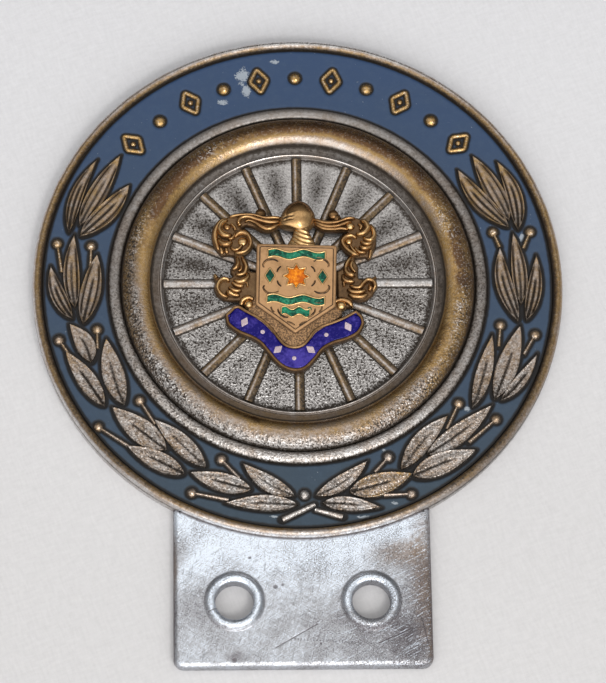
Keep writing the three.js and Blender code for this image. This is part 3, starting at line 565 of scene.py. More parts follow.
def castingPaints(profile, isFace):
    # radii run down the rows of each paint, angles from the foot along them
    radius, height = profile[:, :1], profile[:, 1:]
    angle = np.degrees(np.linspace(0, 2 * math.pi, face["turns"], endpoint=False))[None]
    angle = np.where(angle > 180, angle - 360, angle)
    atTop, atFoot = np.sin(np.radians(angle / 2)) ** 2, np.cos(np.radians(angle / 2)) ** 2
    # the tables of [angle, value] worked out all round
    shown = {name: around(angle, table) for name, table in face.items() if np.shape(table)[1:] == (2,)}
    # how much of a point is on each ring of the face
    onField = 1 - smoothStep(radius, ridgeRadius - 0.9, ridgeRadius - 0.7)
    onRidge = between(radius, ridgeRadius - 0.9, ridgeRadius - 0.7, ridgeRadius + 0.2, ridgeRadius + 0.4)
    onCove = between(radius, ridgeRadius, ridgeRadius + 0.2, tyreInner, tyreInner + 0.2)
    onTyre = between(radius, tyreInner - 0.1, tyreInner + 0.1, stepInner - 0.1, stepInner)
    onStep = between(radius, stepInner, stepInner + 0.1, bandInner, bandInner + 0.1)
    onBead = smoothStep(radius, bandOuter - 0.2, bandOuter)
    # across the tyre, and across the bead, whose outer slope is painted paler on the left and at the foot as
    # a painted highlight
    inwards = np.clip((stepInner - radius) / face["tyreWidth"], 0, 1)
    toOuter, toInner = 1 - smoothStep(inwards, 0.0, 0.45), smoothStep(inwards, 0.5, 0.8)
    toMiddle, onOuterSlope = 1 - toOuter - toInner, onTyre * (1 - smoothStep(inwards, 0.15, 0.6))
    beadShare = (discRadius - radius) / face["beadWidth"]
    beadInner = onBead * smoothStep(beadShare, 0.45, 0.8)
    outerHighlight = onBead * (1 - smoothStep(beadShare, 0.14, 0.36)) * (0.35 + 0.65 * bell(angle + 60, 60))

    tyreBrown = shown["tyreMiddleBrown"] * toMiddle
    tyreBrown = tyreBrown + shown["tyreOuterBrown"] * toOuter + shown["tyreInnerBrown"] * toInner
    brown = 0.1 + onTyre * (tyreBrown - 0.1) + onBead * (shown["beadBrown"] - 0.1) + beadInner * 0.3
    # painted highlight: the bead's outer part is less brown near the top
    brown = brown - onBead * (1 - beadInner) * 0.12 * bell(np.abs(angle) - 160, 45)
    brown = brown - 0.5 * outerHighlight * np.clip(brown / 0.5, 0, 1)
    brown = np.where(isFace, brown + onCove * 0.3 * atFoot - onField * 0.2, 0.5)
    grain = 0.1 + onField * shown["fieldGrain"] + onStep * shown["stepGrain"] + onBead * 0.12
    grain = grain + onOuterSlope * shown["tyreGrain"]
    patch = 0.1 + onTyre * 0.05 + onOuterSlope * shown["tyreGrain"] * 0.2 + onBead * 0.15 - onField * 0.1
    for place, share, reach in face["silverPatches"]:
        here = onTyre * bell(angle - place, reach) * bell(inwards - share, 0.2)
        grain, brown, patch = grain + 0.6 * here, brown - 0.3 * here, patch + 0.3 * here
    for place, share, reach in face["copperPatches"]:
        here = onTyre * bell(angle - place, reach) * bell(inwards - share, 0.16)
        brown, patch = brown + 0.3 * here, patch + 0.3 * here

    # clouds of grime lie between the spokes, and lines of grime and painted shade in the corners between
    # the rings; the tables add painted shade on the tyre, in the cove and on the step and the bead
    sector = np.abs(np.sin(np.radians(angle) * wheel["count"] / 2)) ** 3
    dirt = onField * shown["fieldClouds"] * sector * bell(radius - face["cloudRadius"], face["cloudReach"])
    dirt = dirt + onCove * shown["coveGrimeAndShade"] + onStep * shown["stepGrimeAndShade"]
    dirt = dirt + onBead * shown["beadGrimeAndShade"] + onField * shown["fieldDarkening"]
    # painted shade dims the ridge near the foot
    dirt = dirt + onRidge * 0.5 * bell(angle, 50)
    dirt = dirt + onTyre * (0.06 * (1 - toInner) + toInner * shown["tyreInnerShade"])
    dirt = dirt + onTyre * toMiddle * shown["tyreMiddleShade"]
    # painted shade on the bead's inner slope near the top
    dirt = dirt + beadInner * 0.42 * atTop + onOuterSlope * shown["tyreGrimeAndShade"]
    dirt = dirt - 0.6 * outerHighlight + 0.2 * onBead * bell(beadShare - 0.5, 0.12) * bell(angle, 100)
    # painted shade in the corner under the bead
    underBead = bell(height - face["sideWallHeight"] - 0.15, 0.22) * (radius > discRadius - 0.4)
    dirt = dirt + 0.9 * onBead * underBead
    grimeAndShadeLines = [
        (bandInner, 0.25),
        (stepInner, 0.28),
        (tyreInner + 0.25, 0.25),
        (bandOuter, 0.2),
        (ridgeRadius - 0.85, 0.3),
    ]
    for place, width in grimeAndShadeLines:
        dirt = dirt + bell(radius - place, width)
    onSide = (radius > discRadius - 0.2) & (height < face["sideWallHeight"] + 0.05)
    return {
        "brown": np.where(onSide, 0.0, brown),
        "grain": np.where(isFace, np.where(onSide, 0.3, grain), 0.7),
        "patch": patch,
        "dirt": np.clip(np.where(isFace, dirt, 0.25), 0, 1),
    }


casting = Shell()
front, underside = castingProfile()
profile = np.vstack([front, underside])
isFace = (np.arange(len(profile)) < len(front))[:, None]
casting.add(turnedRings(profile, discCentre, face["turns"]), **castingPaints(profile, isFace))
casting.make("badge_casting", plateFinish, "body_chrome", "badge_body")

# a spoke's section is half a circle drawn up by the power of 0.8, and its walls go into the field
spokes = Shell()
halfTurn = np.linspace(math.pi, 0, 19)
spokeAcross = np.concatenate([[-1.0], np.cos(halfTurn), [1.0]])
spokeRise = np.concatenate([[-0.3], np.sin(halfTurn) ** 0.8, [-0.3]])
spokeEnds = face["hubRadius"] - wheel["hubOverlap"], ridgeRadius - wheel["ridgeGap"]
spokeRadii = np.linspace(*spokeEnds, wheel["steps"])
spokeLevel = face["fieldHeight"] + spokeRise * (wheel["height"] - face["fieldHeight"])
# painted shade where a spoke's walls go into the field
spokeEdgeShade = np.clip(2.3 - 2.2 * spokeRise, 0, 1)
for i in range(wheel["count"]):
    spokeAngle = 360 / wheel["count"] * i
    path = bandPlace(spokeAngle, spokeRadii)
    # painted light: the spokes that lie across are painted paler, the upright ones darker as painted shade
    # but for a painted highlight along the left of each back
    upright = 1 - abs(math.sin(math.radians(spokeAngle))) ** 6
    highlightLine = bell(spokeAcross + 0.25 * math.cos(math.radians(spokeAngle)), 0.24)
    spokes.add(
        carried(path, wheel["width"] / 2, spokeAcross, spokeLevel),
        brown=(0.66 - 0.48 * highlightLine) * (0.15 + 0.85 * upright),
        dirt=np.maximum(spokeEdgeShade, (0.84 - 0.8 * highlightLine) * upright),
        grain=0.25,
        patch=0.3,
    )
spokes.make("wheel_spokes", plateFinish, "body_chrome", "badge_body")

# The laurel wreath. Each leaf: the angle and the share of the band's width at its base and at its tip,
# then its width and the bow of its rib as shares of the band's width.
wreath = {
    "rightLeaves": [
        [5, 0.63, 18.5, 0.89, 0.26, -0.05],
        [12, 0.52, 28.8, 0.59, 0.39, -0.02],
        [3.5, 0.51, 19.5, 0.12, 0.27, 0.02],
        [28.3, 0.62, 44.6, 0.88, 0.38, -0.05],
        [34.2, 0.45, 55.9, 0.62, 0.33, -0.02],
        [26.5, 0.45, 46.2, 0.2, 0.33, -0.09],
        [57.7, 0.69, 72.3, 0.91, 0.22, 0.02],
        [57.2, 0.6, 78.4, 0.55, 0.36, -0.04],
        [52.1, 0.4, 74.1, 0.16, 0.28, -0.03],
        [79.7, 0.63, 97.1, 0.79, 0.23, 0.01],
        [83.6, 0.52, 104, 0.51, 0.24, -0.02],
        [79, 0.51, 100.7, 0.26, 0.26, -0.14],
        [104, 0.6, 123, 0.79, 0.25, 0.06],
        [107.1, 0.52, 127.8, 0.54, 0.29, -0.03],
        [105.3, 0.48, 127, 0.21, 0.28, -0.13],
    ],
    "leftLeaves": [
        [0.9, 0.64, 18.3, 0.79, 0.28, -0.06],
        [12.7, 0.48, 29, 0.55, 0.33, -0.02],
        [1.7, 0.5, 17, 0.11, 0.29, 0.02],
        [29.8, 0.61, 45.4, 0.79, 0.33, -0.04],
        [37, 0.44, 55.1, 0.56, 0.41, -0.03],
        [25.7, 0.37, 45.4, 0.2, 0.33, -0.06],
        [56.2, 0.64, 73.3, 0.81, 0.33, -0.05],
        [68, 0.5, 79.5, 0.65, 0.33, -0.08],
        [53.6, 0.39, 73.3, 0.15, 0.37, -0.01],
        [80.5, 0.58, 94.6, 0.89, 0.23, 0.04],
        [83.3, 0.52, 103.5, 0.61, 0.25, 0],
        [78.7, 0.44, 99.2, 0.2, 0.3, -0.07],
        [103.3, 0.7, 124, 0.79, 0.21, 0.04],
        [105.8, 0.57, 128.3, 0.54, 0.28, -0.05],
        [103, 0.52, 122.5, 0.14, 0.3, -0.1],
    ],
    # each berry: its angle and share, then those of the foot of its stalk
    "rightBerries": [
        [26, 0.86, 20, 0.71],
        [25.2, 0.19, 20, 0.33],
        [53.2, 0.79, 44.5, 0.71],
        [50.8, 0.19, 43, 0.33],
        [76.6, 0.8, 71, 0.71],
        [77.2, 0.25, 71, 0.31],
        [103, 0.78, 99, 0.61],
        [105.3, 0.22, 100.5, 0.26],
    ],
    "leftBerries": [
        [26.1, 0.82, 17.5, 0.72],
        [22.9, 0.16, 16.5, 0.35],
        [52.9, 0.91, 43.5, 0.75],
        [52.1, 0.16, 44, 0.24],
        [76, 0.85, 71, 0.75],
        [76.4, 0.25, 71, 0.33],
        [100.2, 0.84, 93, 0.71],
        [101.1, 0.32, 95, 0.28],
    ],
    # each stem: the angle and share of its end and of its foot, then where the stems cross
    "stems": [[3.2, 0.64, -4.4, 0.88], [3.2, 0.72, 9.3, 0.88]],
    "knot": [0.8, 0.48],
    # leaves that start past this angle are so many times as full, and carry a loop round the vein
    "upperFrom": 77,
    "upperSwell": 1.16,
    "tipWidth": 0.4,
    "leafSteps": 46,
    # points across a leaf, as shares of the way from its edge to its rib
    "acrossShares": [0, 0.02, 0.05, 0.1, 0.17, 0.25, 0.34, 0.44, 0.55, 0.66, 0.77, 0.85, 0.91, 0.96, 1.0],
    # heights of a leaf: its edge, its wall, its rim, its lobe and the depth of its vein
    "leafFoot": 2.35,
    "leafWall": 0.6,
    "leafRim": 0.16,
    "leafLobe": 0.32,
    "veinDepth": 0.42,
    "veinWidth": 0.2,
    # the loop lies at this share of the way from the rib to the edge
    "loopShare": 0.58,
    "loopWidth": 0.14,
    "berryRadius": 0.95,
    "berryHeight": 3.4,
    # half widths at the foot and at the end, and heights
    "stalkHalves": (0.42, 0.28),
    "stalkHeight": 3.05,
    "stemHalves": (0.6, 0.45),
    "stemHeight": 3.15,
    # how brown, grainy and dark a leaf is at an angle from the foot
    "leafBrown": [(0, 0.16), (60, 0.26), (85, 0.33), (100, 0.38), (128, 0.42)],
    "leafGrain": [(0, 0.75), (60, 0.6), (80, 0.25), (128, 0.12)],
    "leafDarkening": [(0, 0.06), (60, 0.2), (85, 0.28), (105, 0.28), (128, 0.28)],
    # this leaf, by its side and its number, is browner
    "brownLeaf": (1, 1),
    "brownLeafBy": 0.2,
}


def bandShare(angle, share):
    return bandPlace(angle, bandInner + np.asarray(share) * face["bandWidth"])


def leafRib(side, leaf, t):
    # the rib runs evenly in angle and in share of the band's width, and bows by half a sine wave
    base, baseShare, tip, tipShare, _, bow = leaf
    share = baseShare + (tipShare - baseShare) * t + bow * np.sin(math.pi * t)
    return bandShare(side * (base + (tip - base) * t), share)


def leafHalfWidth(leaf, t):
    # fullest before the middle and drawn out to the tip: sin(pi t^0.8)^0.8 of half the leaf's width
    swell = np.maximum(np.sin(math.pi * t**0.8), 0) ** 0.8
    width = leaf[4] * face["bandWidth"] * (wreath["upperSwell"] if leaf[0] > wreath["upperFrom"] else 1)
    return np.maximum(width * swell / 2, wreath["tipWidth"] / 2)


motifs = []     # circles that together cover each raised motif, as arrays of x, y and radius
stations = np.linspace(0, 1, wreath["leafSteps"])
fromEdge = np.array(wreath["acrossShares"])
leafAcross = np.concatenate([fromEdge - 1, 1 - fromEdge[-2::-1]])
floor = face["bandFloor"] - 0.2


def alongLeaf(leaf, name):
    # a value of the wreath at the angle of each station
    return around(np.linspace(leaf[0], leaf[2], len(stations)), wreath[name])[:, None]


def addLeaf(shell, side, i, leaf):
    # a wall rises from the edge to a thin rim, and inside it lies a lobe that is parted by the vein
    half = leafHalfWidth(leaf, stations)
    half[[0, -1]] *= 0.5
    path = leafRib(side, leaf, stations)
    motifs.append(np.column_stack([path, half]))
    offset = np.abs(half[:, None] * leafAcross)
    inset = half[:, None] - offset
    # the veins are not all equally deep
    vein = bell(offset, wreath["veinWidth"]) * between(stations, 0.0, 0.06, 0.55, 0.7)[:, None]
    vein = vein * (0.8 + 0.2 * math.sin(2.3 * i))
    if leaf[0] > wreath["upperFrom"]:
        loop = 0.8 * bell(offset - wreath["loopShare"] * half[:, None], wreath["loopWidth"])
        vein = np.maximum(vein, loop * between(stations, 0.08, 0.16, 0.78, 0.9)[:, None])
    rim = bell(inset - 0.32, 0.18)
    lobe = np.clip(inset / np.maximum(half[:, None], 0.5), 0, 1) ** 0.7
    level = wreath["leafFoot"] + wreath["leafWall"] * smoothStep(inset, 0, 0.22)
    level = level + wreath["leafRim"] * rim + wreath["leafLobe"] * lobe - wreath["veinDepth"] * vein
    level[:, [0, -1]] = floor
    tone = alongLeaf(leaf, "leafBrown") + wreath["brownLeafBy"] * ((side, i) == wreath["brownLeaf"])
    # the leaf darkens by the table and at its base, with grime and painted shade at the foot of its wall and
    # in its vein
    dull = alongLeaf(leaf, "leafDarkening") * (1 - 0.45 * rim) + 0.3 * bell(stations, 0.3)[:, None]
    wall = 1 - smoothStep(inset, 0.06, 0.34)
    shell.add(
        carried(path, half, leafAcross, level),
        brown=tone + 0.06 * rim,
        dirt=np.clip(wall + 0.9 * vein + dull, 0, 1),
        grain=alongLeaf(leaf, "leafGrain"),
        patch=0.28,
    )


leaves = Shell()
for side, table in ((1, wreath["rightLeaves"]), (-1, wreath["leftLeaves"])):
    for i, leaf in enumerate(table):
        addLeaf(leaves, side, i, leaf)
leaves.make("wreath_leaves", plateFinish, "body_chrome", "badge_body")


def domeRings(centre, radius, foot, top, steps=10, count=28):
    # a quarter of an ellipse turned about the centre, over an upright foot
    turn = np.linspace(0, math.pi / 2 * 0.94, steps)
    height = foot + 0.35 * (top - foot) + 0.65 * (top - foot) * np.sin(turn)
    curve = np.column_stack([radius * np.cos(turn), height])
    return turnedRings(np.vstack([[radius, foot], curve]), centre, count)


def footGrimeAndShade(rings, fall=0.3, least=0.0):
    # grime and painted shade at the foot that fall by the same step from ring to ring
    return np.clip(1.0 - np.arange(len(rings)) * fall, least, 1)[:, None]


def addDome(shell, centre, radius, top, least=0.0, **paints):
    rings = domeRings(centre, radius, floor, top)
    shell.add(rings, dirt=footGrimeAndShade(rings, least=least), **paints)
    motifs.append(np.array([[*centre, radius]]))


def roundBack(foot, top, wall, steps):
    # a section with a round back over upright walls: places across, heights and the grime and painted shade
    # at its edges
    turn = np.linspace(math.pi, 0, steps)
    level = foot + (top - foot) * (wall + (1 - wall) * np.sin(turn))
    level[[0, -1]] = foot
    return np.cos(turn), level, np.clip(1.2 - 1.3 * np.sin(turn), 0, 1)


def addBar(shell, start, end, halfStart, halfEnd, top, **paints):
    # a bar with a round back between two places of the band
    path, half = np.linspace(start, end, 14), np.linspace(halfStart, halfEnd, 14)
    across, level, grimeAndShade = roundBack(floor, top, 0.45, 13)
    shell.add(carried(path, half, across, level), dirt=grimeAndShade, **paints)
    motifs.append(np.column_stack([path, half]))


berries = Shell()
for side, table in ((1, wreath["rightBerries"]), (-1, wreath["leftBerries"])):
    for berryAngle, share, footAngle, footShare in table:
        centre, foot = bandShare(side * berryAngle, share), bandShare(side * footAngle, footShare)
        paints = {"brown": around(berryAngle, wreath["leafBrown"]) + 0.1, "grain": 0.4}
        dull = around(berryAngle, wreath["leafDarkening"]) * 0.6
        addBar(berries, foot, centre, *wreath["stalkHalves"], wreath["stalkHeight"], **paints)
        addDome(berries, centre, wreath["berryRadius"], wreath["berryHeight"], least=dull, **paints)
for toAngle, toShare, fromAngle, fromShare in wreath["stems"]:
    start, end = bandShare(fromAngle, fromShare), bandShare(toAngle, toShare)
    addBar(berries, start, end, *wreath["stemHalves"], wreath["stemHeight"], brown=0.1, grain=0.6)
knot = bandShare(*wreath["knot"])
addDome(berries, knot, wreath["berryRadius"], wreath["berryHeight"], brown=0.1, grain=0.5)
berries.make("wreath_berries", plateFinish, "body_chrome", "badge_body")

# Open lozenges and beads by turns over the top of the band
ornament = {
    "count": 11,
    "pitch": 9.5,
    "share": 0.52,
    "length": 6.0,
    "width": 4.2,
    "stroke": 0.88,
    "corner": 0.5,
    "height": 3.1,
    "beadRadius": 1.12,
    "beadHeight": 3.35,
    "innerBeadRadius": 0.6,
}
trim = Shell()
halfStroke = ornament["stroke"] / 2
lozengeReach = [ornament["width"] / 2 - halfStroke, ornament["length"] / 2 - halfStroke * 1.4]
lozengeCorners = np.array([(1, 0), (0, 1), (-1, 0), (0, -1)]) * lozengeReach
lozengeLine = resampled(rounded(lozengeCorners, ornament["corner"]), 72)
lozengeAcross, lozengeLevel, lozengeGrimeAndShade = roundBack(floor, ornament["height"], 0.6, 11)
for i in range(ornament["count"]):
    ornamentAngle = 180 + ornament["pitch"] * (i - (ornament["count"] - 1) / 2)
    centre = bandShare(ornamentAngle, ornament["share"])
    if i % 2:
        addDome(trim, centre, ornament["beadRadius"], ornament["beadHeight"], brown=0.6, grain=0.3)
        continue
    addDome(trim, centre, ornament["innerBeadRadius"], ornament["height"], brown=0.6, grain=0.3)
    path = spun(lozengeLine, ornamentAngle) + centre
    rings = carried(path, halfStroke, lozengeAcross, lozengeLevel, looped=True)
    trim.add(rings, looped=True, brown=0.62, dirt=lozengeGrimeAndShade, grain=0.3)
    motifs.append(np.column_stack([path, np.full(len(path), halfStroke)]))
trim.make("ornament_motifs", plateFinish, "body_chrome", "badge_body")

# The blue enamel of the border lies round every motif, a little hollow, with grime and painted shade against
# the metal
enamel = {
    "top": 2.75,
    "gap": 0.06,
    # the surface dips by this depth to the metal, most of it over this reach
    "dipDepth": 0.16,
    "dipReach": 0.3,
    # how far beyond a motif its gap is worked out
    "farthest": 1.6,
    "turns": 1240,
    "rows": 62,
    "cloudSize": 9.0,
    "spotSize": 1.1,
    "speckSize": 0.25,
    "pockSize": 0.5,
    "reliefDepth": 0.06,
    # the colour blends from the foot to the top over this height
    "blendHeight": 90.0,
    "blueTop": (0.021, 0.052, 0.125),
    "blueFoot": (0.026, 0.048, 0.072),
    "pale": (0.075, 0.12, 0.18),
    "grimeAndShade": (0.01, 0.009, 0.009),
    "bare": (0.42, 0.47, 0.52),
    # chips: x, y, reach along each axis
    "chips": [
        (-9.6, 40.6, 1.3, 1.6),
        (-8.9, 37.6, 0.9, 1.2),
        (-13.4, 35.4, 1.0, 0.6),
        (-3.9, 43.4, 0.9, 0.5),
        (29.7, -24.0, 0.8, 0.5),
        (40.6, 8.6, 0.5, 0.9),
        (14.7, -31.6, 0.6, 0.4),
        (10.9, -43.9, 1.1, 0.35),
        (16.3, -41.4, 0.8, 0.4),
        (-4.6, -43.7, 0.9, 0.3),
    ],
}


def ringEnamelFinish(name, look):
    f = Finish(name)
    gap = f.paint("gap")
    clouds, spots = f.noise(look["cloudSize"], 3.0), f.noise(look["spotSize"], 4.0, 0.6)
    specks, pocks = f.noise(look["speckSize"], 3.0, 0.6), f.noise(look["pockSize"], 2.0)
    risen = f.y / look["blendHeight"] + 0.5 + (clouds - 0.5) * 0.4
    blue = f.mix(risen.held(), look["blueFoot"], look["blueTop"])
    blue = f.mix(((spots - 0.45) * 0.9 + (specks - 0.5) * 0.5).held() * 0.5, blue, look["pale"])
    ragged = (spots - 0.5) * 2.4
    chip = None
    for place in look["chips"]:
        here = 1 - (f.away(*place) + ragged + (specks - 0.5) * 2.0).step(0.7, 0.95)
        chip = chip.math("MAXIMUM", here) if chip else here
    # grime and painted shade thin out away from the metal, sooner towards the top
    grimeAndShade = 1 - (gap * (1 + f.y.step(0.0, 35.0) * 0.5) + (spots - 0.5) * 0.25).step(0.18, 0.66)
    pits = (specks + (clouds - 0.5) * 0.4).step(0.68, 0.76) * 0.5
    colour = f.mix((chip * 0.7 + pocks.step(0.74, 0.8) * 0.5).held(), blue, look["bare"])
    values = {
        "Base Color": f.mix((grimeAndShade + pits).held(), colour, look["grimeAndShade"]),
        "Roughness": (0.34 + (clouds - 0.5) * 0.2 + grimeAndShade * 0.3 + chip * 0.2).held(),
        "Specular IOR Level": 0.35,
        "Coat Weight": (0.12 - grimeAndShade * 0.12).held(),
        "Coat Roughness": 0.12,
        "Normal": f.relief(clouds * 1.2 + spots * 0.35 + specks * 0.12 - chip * 0.6, look["reliefDepth"]),
    }
    return f.surface(values)


inner, outer = bandInner + enamel["gap"], bandOuter - enamel["gap"]
surfaceRadii = np.linspace(inner + 0.02, outer - 0.02, enamel["rows"])
rows = np.concatenate([[inner, inner], surfaceRadii, [outer, outer]])[:, None]
places = bandPlace(np.linspace(0, 360, enamel["turns"], endpoint=False), rows)
gap = np.minimum(rows - inner, outer - rows) + np.zeros(enamel["turns"])
for circles in motifs:
    reach = circles[:, 2].max() + enamel["farthest"]
    low, high = circles[:, :2].min(0) - reach, circles[:, :2].max(0) + reach
    inBox = ((places > low) & (places < high)).all(-1)
    fine = smoothLine(circles, 4 * len(circles)) if len(circles) > 1 else circles
    away = np.linalg.norm(places[inBox][:, None] - fine[None, :, :2], axis=2) - fine[None, :, 2]
    gap[inBox] = np.minimum(gap[inBox], away.min(1))
# the enamel stands highest away from the metal and dips to it
gap = np.maximum(gap, 0)
level = enamel["top"] - enamel["dipDepth"] * bell(gap, enamel["dipReach"])
level[[0, -1]] = face["bandFloor"]
ring = Shell("gap")
ring.add(np.concatenate([places, level[..., None]], -1), looped=True, gap=gap)
ring.make("ring_enamel_fill", ringEnamelFinish("fired blue enamel", enamel), "ring_enamel", "ring_enamel")

# The lug with its two bolt holes keeps more of its plate than the face: scratched, nicked, and tarnished on
# the right. Its colour also holds a painted reflection in its blue tint, painted shade towards its free end
# and in patches, and a painted highlight round each collar
lug = {
    "width": 45.0,
    "thickness": 2.4,
    "endReach": 11.7,
    "cornerRadius": 1.8,
    "holeSpacing": 23.8,
    "holeRadius": 3.35,
    "bossFootRadius": 5.3,
    "bossTopRadius": 4.5,
    "bossHeight": 0.9,
    # the edge above its bevelled foot as (inset, drop under the top), then the grime and painted shade from
    # the foot upwards, and that from the foot of a boss over its top and down the hole
    "footBevel": 0.12,
    "edge": [(0, 0.95), (0.12, 0.56), (0.38, 0.24), (0.75, 0.06), (1.1, 0), (1.25, 0)],
    "edgeGrimeAndShade": [0.3, 0.3, 0.2, 0.1, 0, 0, 0, 0],
    "boreGrimeAndShade": [0, 0.12, 0.35, 0, 0, 0, 0, 0, 0.25, 0.6, 0.5, 0.5],
    # the blue tint of the plate is a painted reflection
    "plate": (0.76, 0.83, 0.93),
    "dull": (0.45, 0.46, 0.49),
    "stainAndShade": (0.12, 0.105, 0.115),
    "brown": (0.24, 0.165, 0.11),
    "cloudSize": 7.0,
    "spotSize": 0.8,
    "speckSize": 0.2,
    "fleckSize": 0.3,
    "reliefDepth": 0.14,
    # lines from polishing, scuffs and marks: size, turn in degrees and how far they are drawn out
    "polishLines": [(0.22, -32.0, 18.0), (0.24, 70.0, 16.0), (0.2, 38.0, 20.0)],
    "scuffLines": (0.28, 28.0, 9.0),
    "markLines": [(0.3, 35.0, 14.0), (0.26, 80.0, 14.0)],
    # a painted highlight: the plate is painted brighter in a ring round each collar
    "highlightRing": 4.1,
    # nicks are x, y and reach, scratches run from one place to another, stains and patches of painted shade
    # are x, y and two reaches
    "nicks": [
        (-4.8, -56.3, 0.5), (-3.5, -55.9, 0.35), (-9.2, -51.0, 0.4), (-12.0, -69.4, 0.6), (3.0, -66.5, 0.3),
    ],
    "scratches": [
        (-5.0, -67.3, 2.5, -63.0), (-16.5, -60.8, -13.2, -59.7), (13.0, -66.5, 19.0, -63.8),
        (20.6, -62.0, 21.6, -66.5),
    ],
    "dottedScratch": (-2.2, -65.6, 12.5, -66.6),
    "dotPitch": 0.55,
    "stainsAndShades": [
        (15.0, -52.5, 6.5, 3.2),
        (20.5, -55.0, 3.5, 5.0),
        (-22.0, -50.0, 2.5, 4.0),
        (18.5, -65.0, 6.5, 5.5),
        (-22.4, -60.0, 0.5, 12.0),
        (-11.5, -68.8, 2.0, 1.0),
        (11.0, -62.0, 5.0, 2.5),
    ],
    "browns": [
        (21.9, -55.0, 2.6, 13.0), (17.0, -50.2, 4.5, 2.2), (22.6, -64.0, 1.0, 8.0),
        (-22.5, -52.0, 0.7, 5.0),
    ],
}


def lineAway(f, x0, y0, x1, y1):
    # distance from a straight line between two places, and past its ends also that along it
    length = math.hypot(x1 - x0, y1 - y0)
    along = (f.x - x0) * ((x1 - x0) / length) + (f.y - y0) * ((y1 - y0) / length)
    beside = ((f.x - x0) * ((y0 - y1) / length) + (f.y - y0) * ((x1 - x0) / length)).math("ABSOLUTE")
    return beside + ((along - length / 2).math("ABSOLUTE") - length / 2).math("MAXIMUM", 0.0)


def lugPlateFinish(name, look):
    f = Finish(name)
    dirt = f.paint("dirt")
    clouds, spots = f.noise(look["cloudSize"], 4.0, 0.6), f.noise(look["spotSize"], 4.0, 0.65)
    specks, flecks = f.noise(look["speckSize"], 2.0, 0.6), f.noise(look["fleckSize"], 1.0)
    # stains with painted shade: darker towards the free end and in patches, brighter round the collars
    stainAndShade = (clouds - 0.5) * 0.75 + (spots - 0.5) * 0.5 + f.y.step(-50.0, -60.0) * 0.42
    for side in (-1, 1):
        collar = f.away(side * look["holeSpacing"] / 2, -float(discCentre[1]))
        stainAndShade = stainAndShade - (1 - (collar - look["highlightRing"]).math("ABSOLUTE").step(0.4, 0.9)) * 0.45
    for place in look["stainsAndShades"]:
        stainAndShade = stainAndShade + (1 - f.away(*place).step(0.1, 1.5)) * 0.38
    polish = [f.streaks(*line) for line in look["polishLines"]]
    fine = polish[0] + polish[1] + polish[2]
    stainAndShade = (stainAndShade + (fine - 1.5) * 0.5 + (specks - 0.5) * 0.7).held()
    colour = f.ramp(stainAndShade, (0.0, look["plate"]), (0.45, look["dull"]), (1.0, look["stainAndShade"]))
    for place in look["browns"]:
        here = 1 - (f.away(*place) + (spots - 0.5) * 1.6 + (clouds - 0.5) * 1.5).step(0.3, 1.5)
        colour = f.mix((here * 0.7).held(), colour, look["brown"])
    # bright scuffs and flecks, most of them on the right
    scuffs = f.streaks(*look["scuffLines"]).step(0.57, 0.66) * (0.25 + f.x.step(-5.0, 20.0) * 0.75)
    bright = flecks.step(0.64, 0.7) * (0.2 + f.x.step(-8.0, 20.0) * 0.7)
    colour = f.mix((scuffs * 0.8 + bright).held(), colour, look["plate"])
    coarse, thin = [f.streaks(*line) for line in look["markLines"]]
    marks = coarse.step(0.6, 0.7) * 0.4 + thin.step(0.62, 0.7) * 0.35
    for ends in look["scratches"]:
        marks = marks.math("MAXIMUM", 1 - (lineAway(f, *ends) + (spots - 0.5) * 0.2).step(0.03, 0.14))
    dots = (f.x * (2 * math.pi / look["dotPitch"])).math("SINE").step(0.0, 0.9)
    marks = marks.math("MAXIMUM", (1 - lineAway(f, *look["dottedScratch"]).step(0.05, 0.3)) * dots * 0.6)
    for x, y, reach in look["nicks"]:
        marks = marks.math("MAXIMUM", 1 - (f.away(x, y) + (spots - 0.5) * 0.4).step(reach * 0.4, reach))
    pits = (specks + (clouds - 0.5) * 0.5 + f.x.step(0.0, 22.0) * 0.09).step(0.6, 0.7)
    # a painted shadow where the lug goes under the disc, and darker down both its sides
    underShadow = 1 - (f.away(0.0, 0.0) - discRadius + (spots - 0.5) * 0.5).step(0.0, 0.55)
    side = f.x.math("ABSOLUTE").step(look["width"] / 2 - 0.45, look["width"] / 2 - 0.1) * 0.55
    grimeAndShade = (dirt + side + marks * 0.75 + pits * 0.65 + underShadow * 0.9).held()
    height = clouds * 3.2 + spots * 0.4 + fine * 0.16 - marks * 0.4 - pits * 0.2
    values = {
        "Base Color": f.mix(grimeAndShade, colour, look["stainAndShade"]),
        "Metallic": (1 - grimeAndShade * 0.5).held(),
        "Roughness": (0.16 + stainAndShade * 0.2 + grimeAndShade * 0.3 + spots * 0.1).held(),
        "Normal": f.relief(height, look["reliefDepth"]),
    }
    return f.surface(values)


def lugOutline():
    # square-cut sides, a free end with round corners, and an upper edge inside the disc's side wall
    half, joinRadius = lug["width"] / 2, discRadius - face["footRingWidth"] / 2
    joinAngle = math.degrees(math.asin(half / joinRadius))
    join = bandPlace(np.linspace(joinAngle, -joinAngle, 60), joinRadius)
    turn = np.radians(np.linspace(0, 90, 14))[:, None]
    corner = lug["cornerRadius"] * (1 - np.hstack([np.cos(turn), np.sin(turn)]))
    left = np.array([-half, -lug["endReach"]]) + corner
    right = left[::-1] * [-1, 1]
    sides = np.linspace(right[-1], join[0], 20)[1:-1]
    return np.vstack([left, right, sides, join, (sides * [-1, 1])[::-1]])


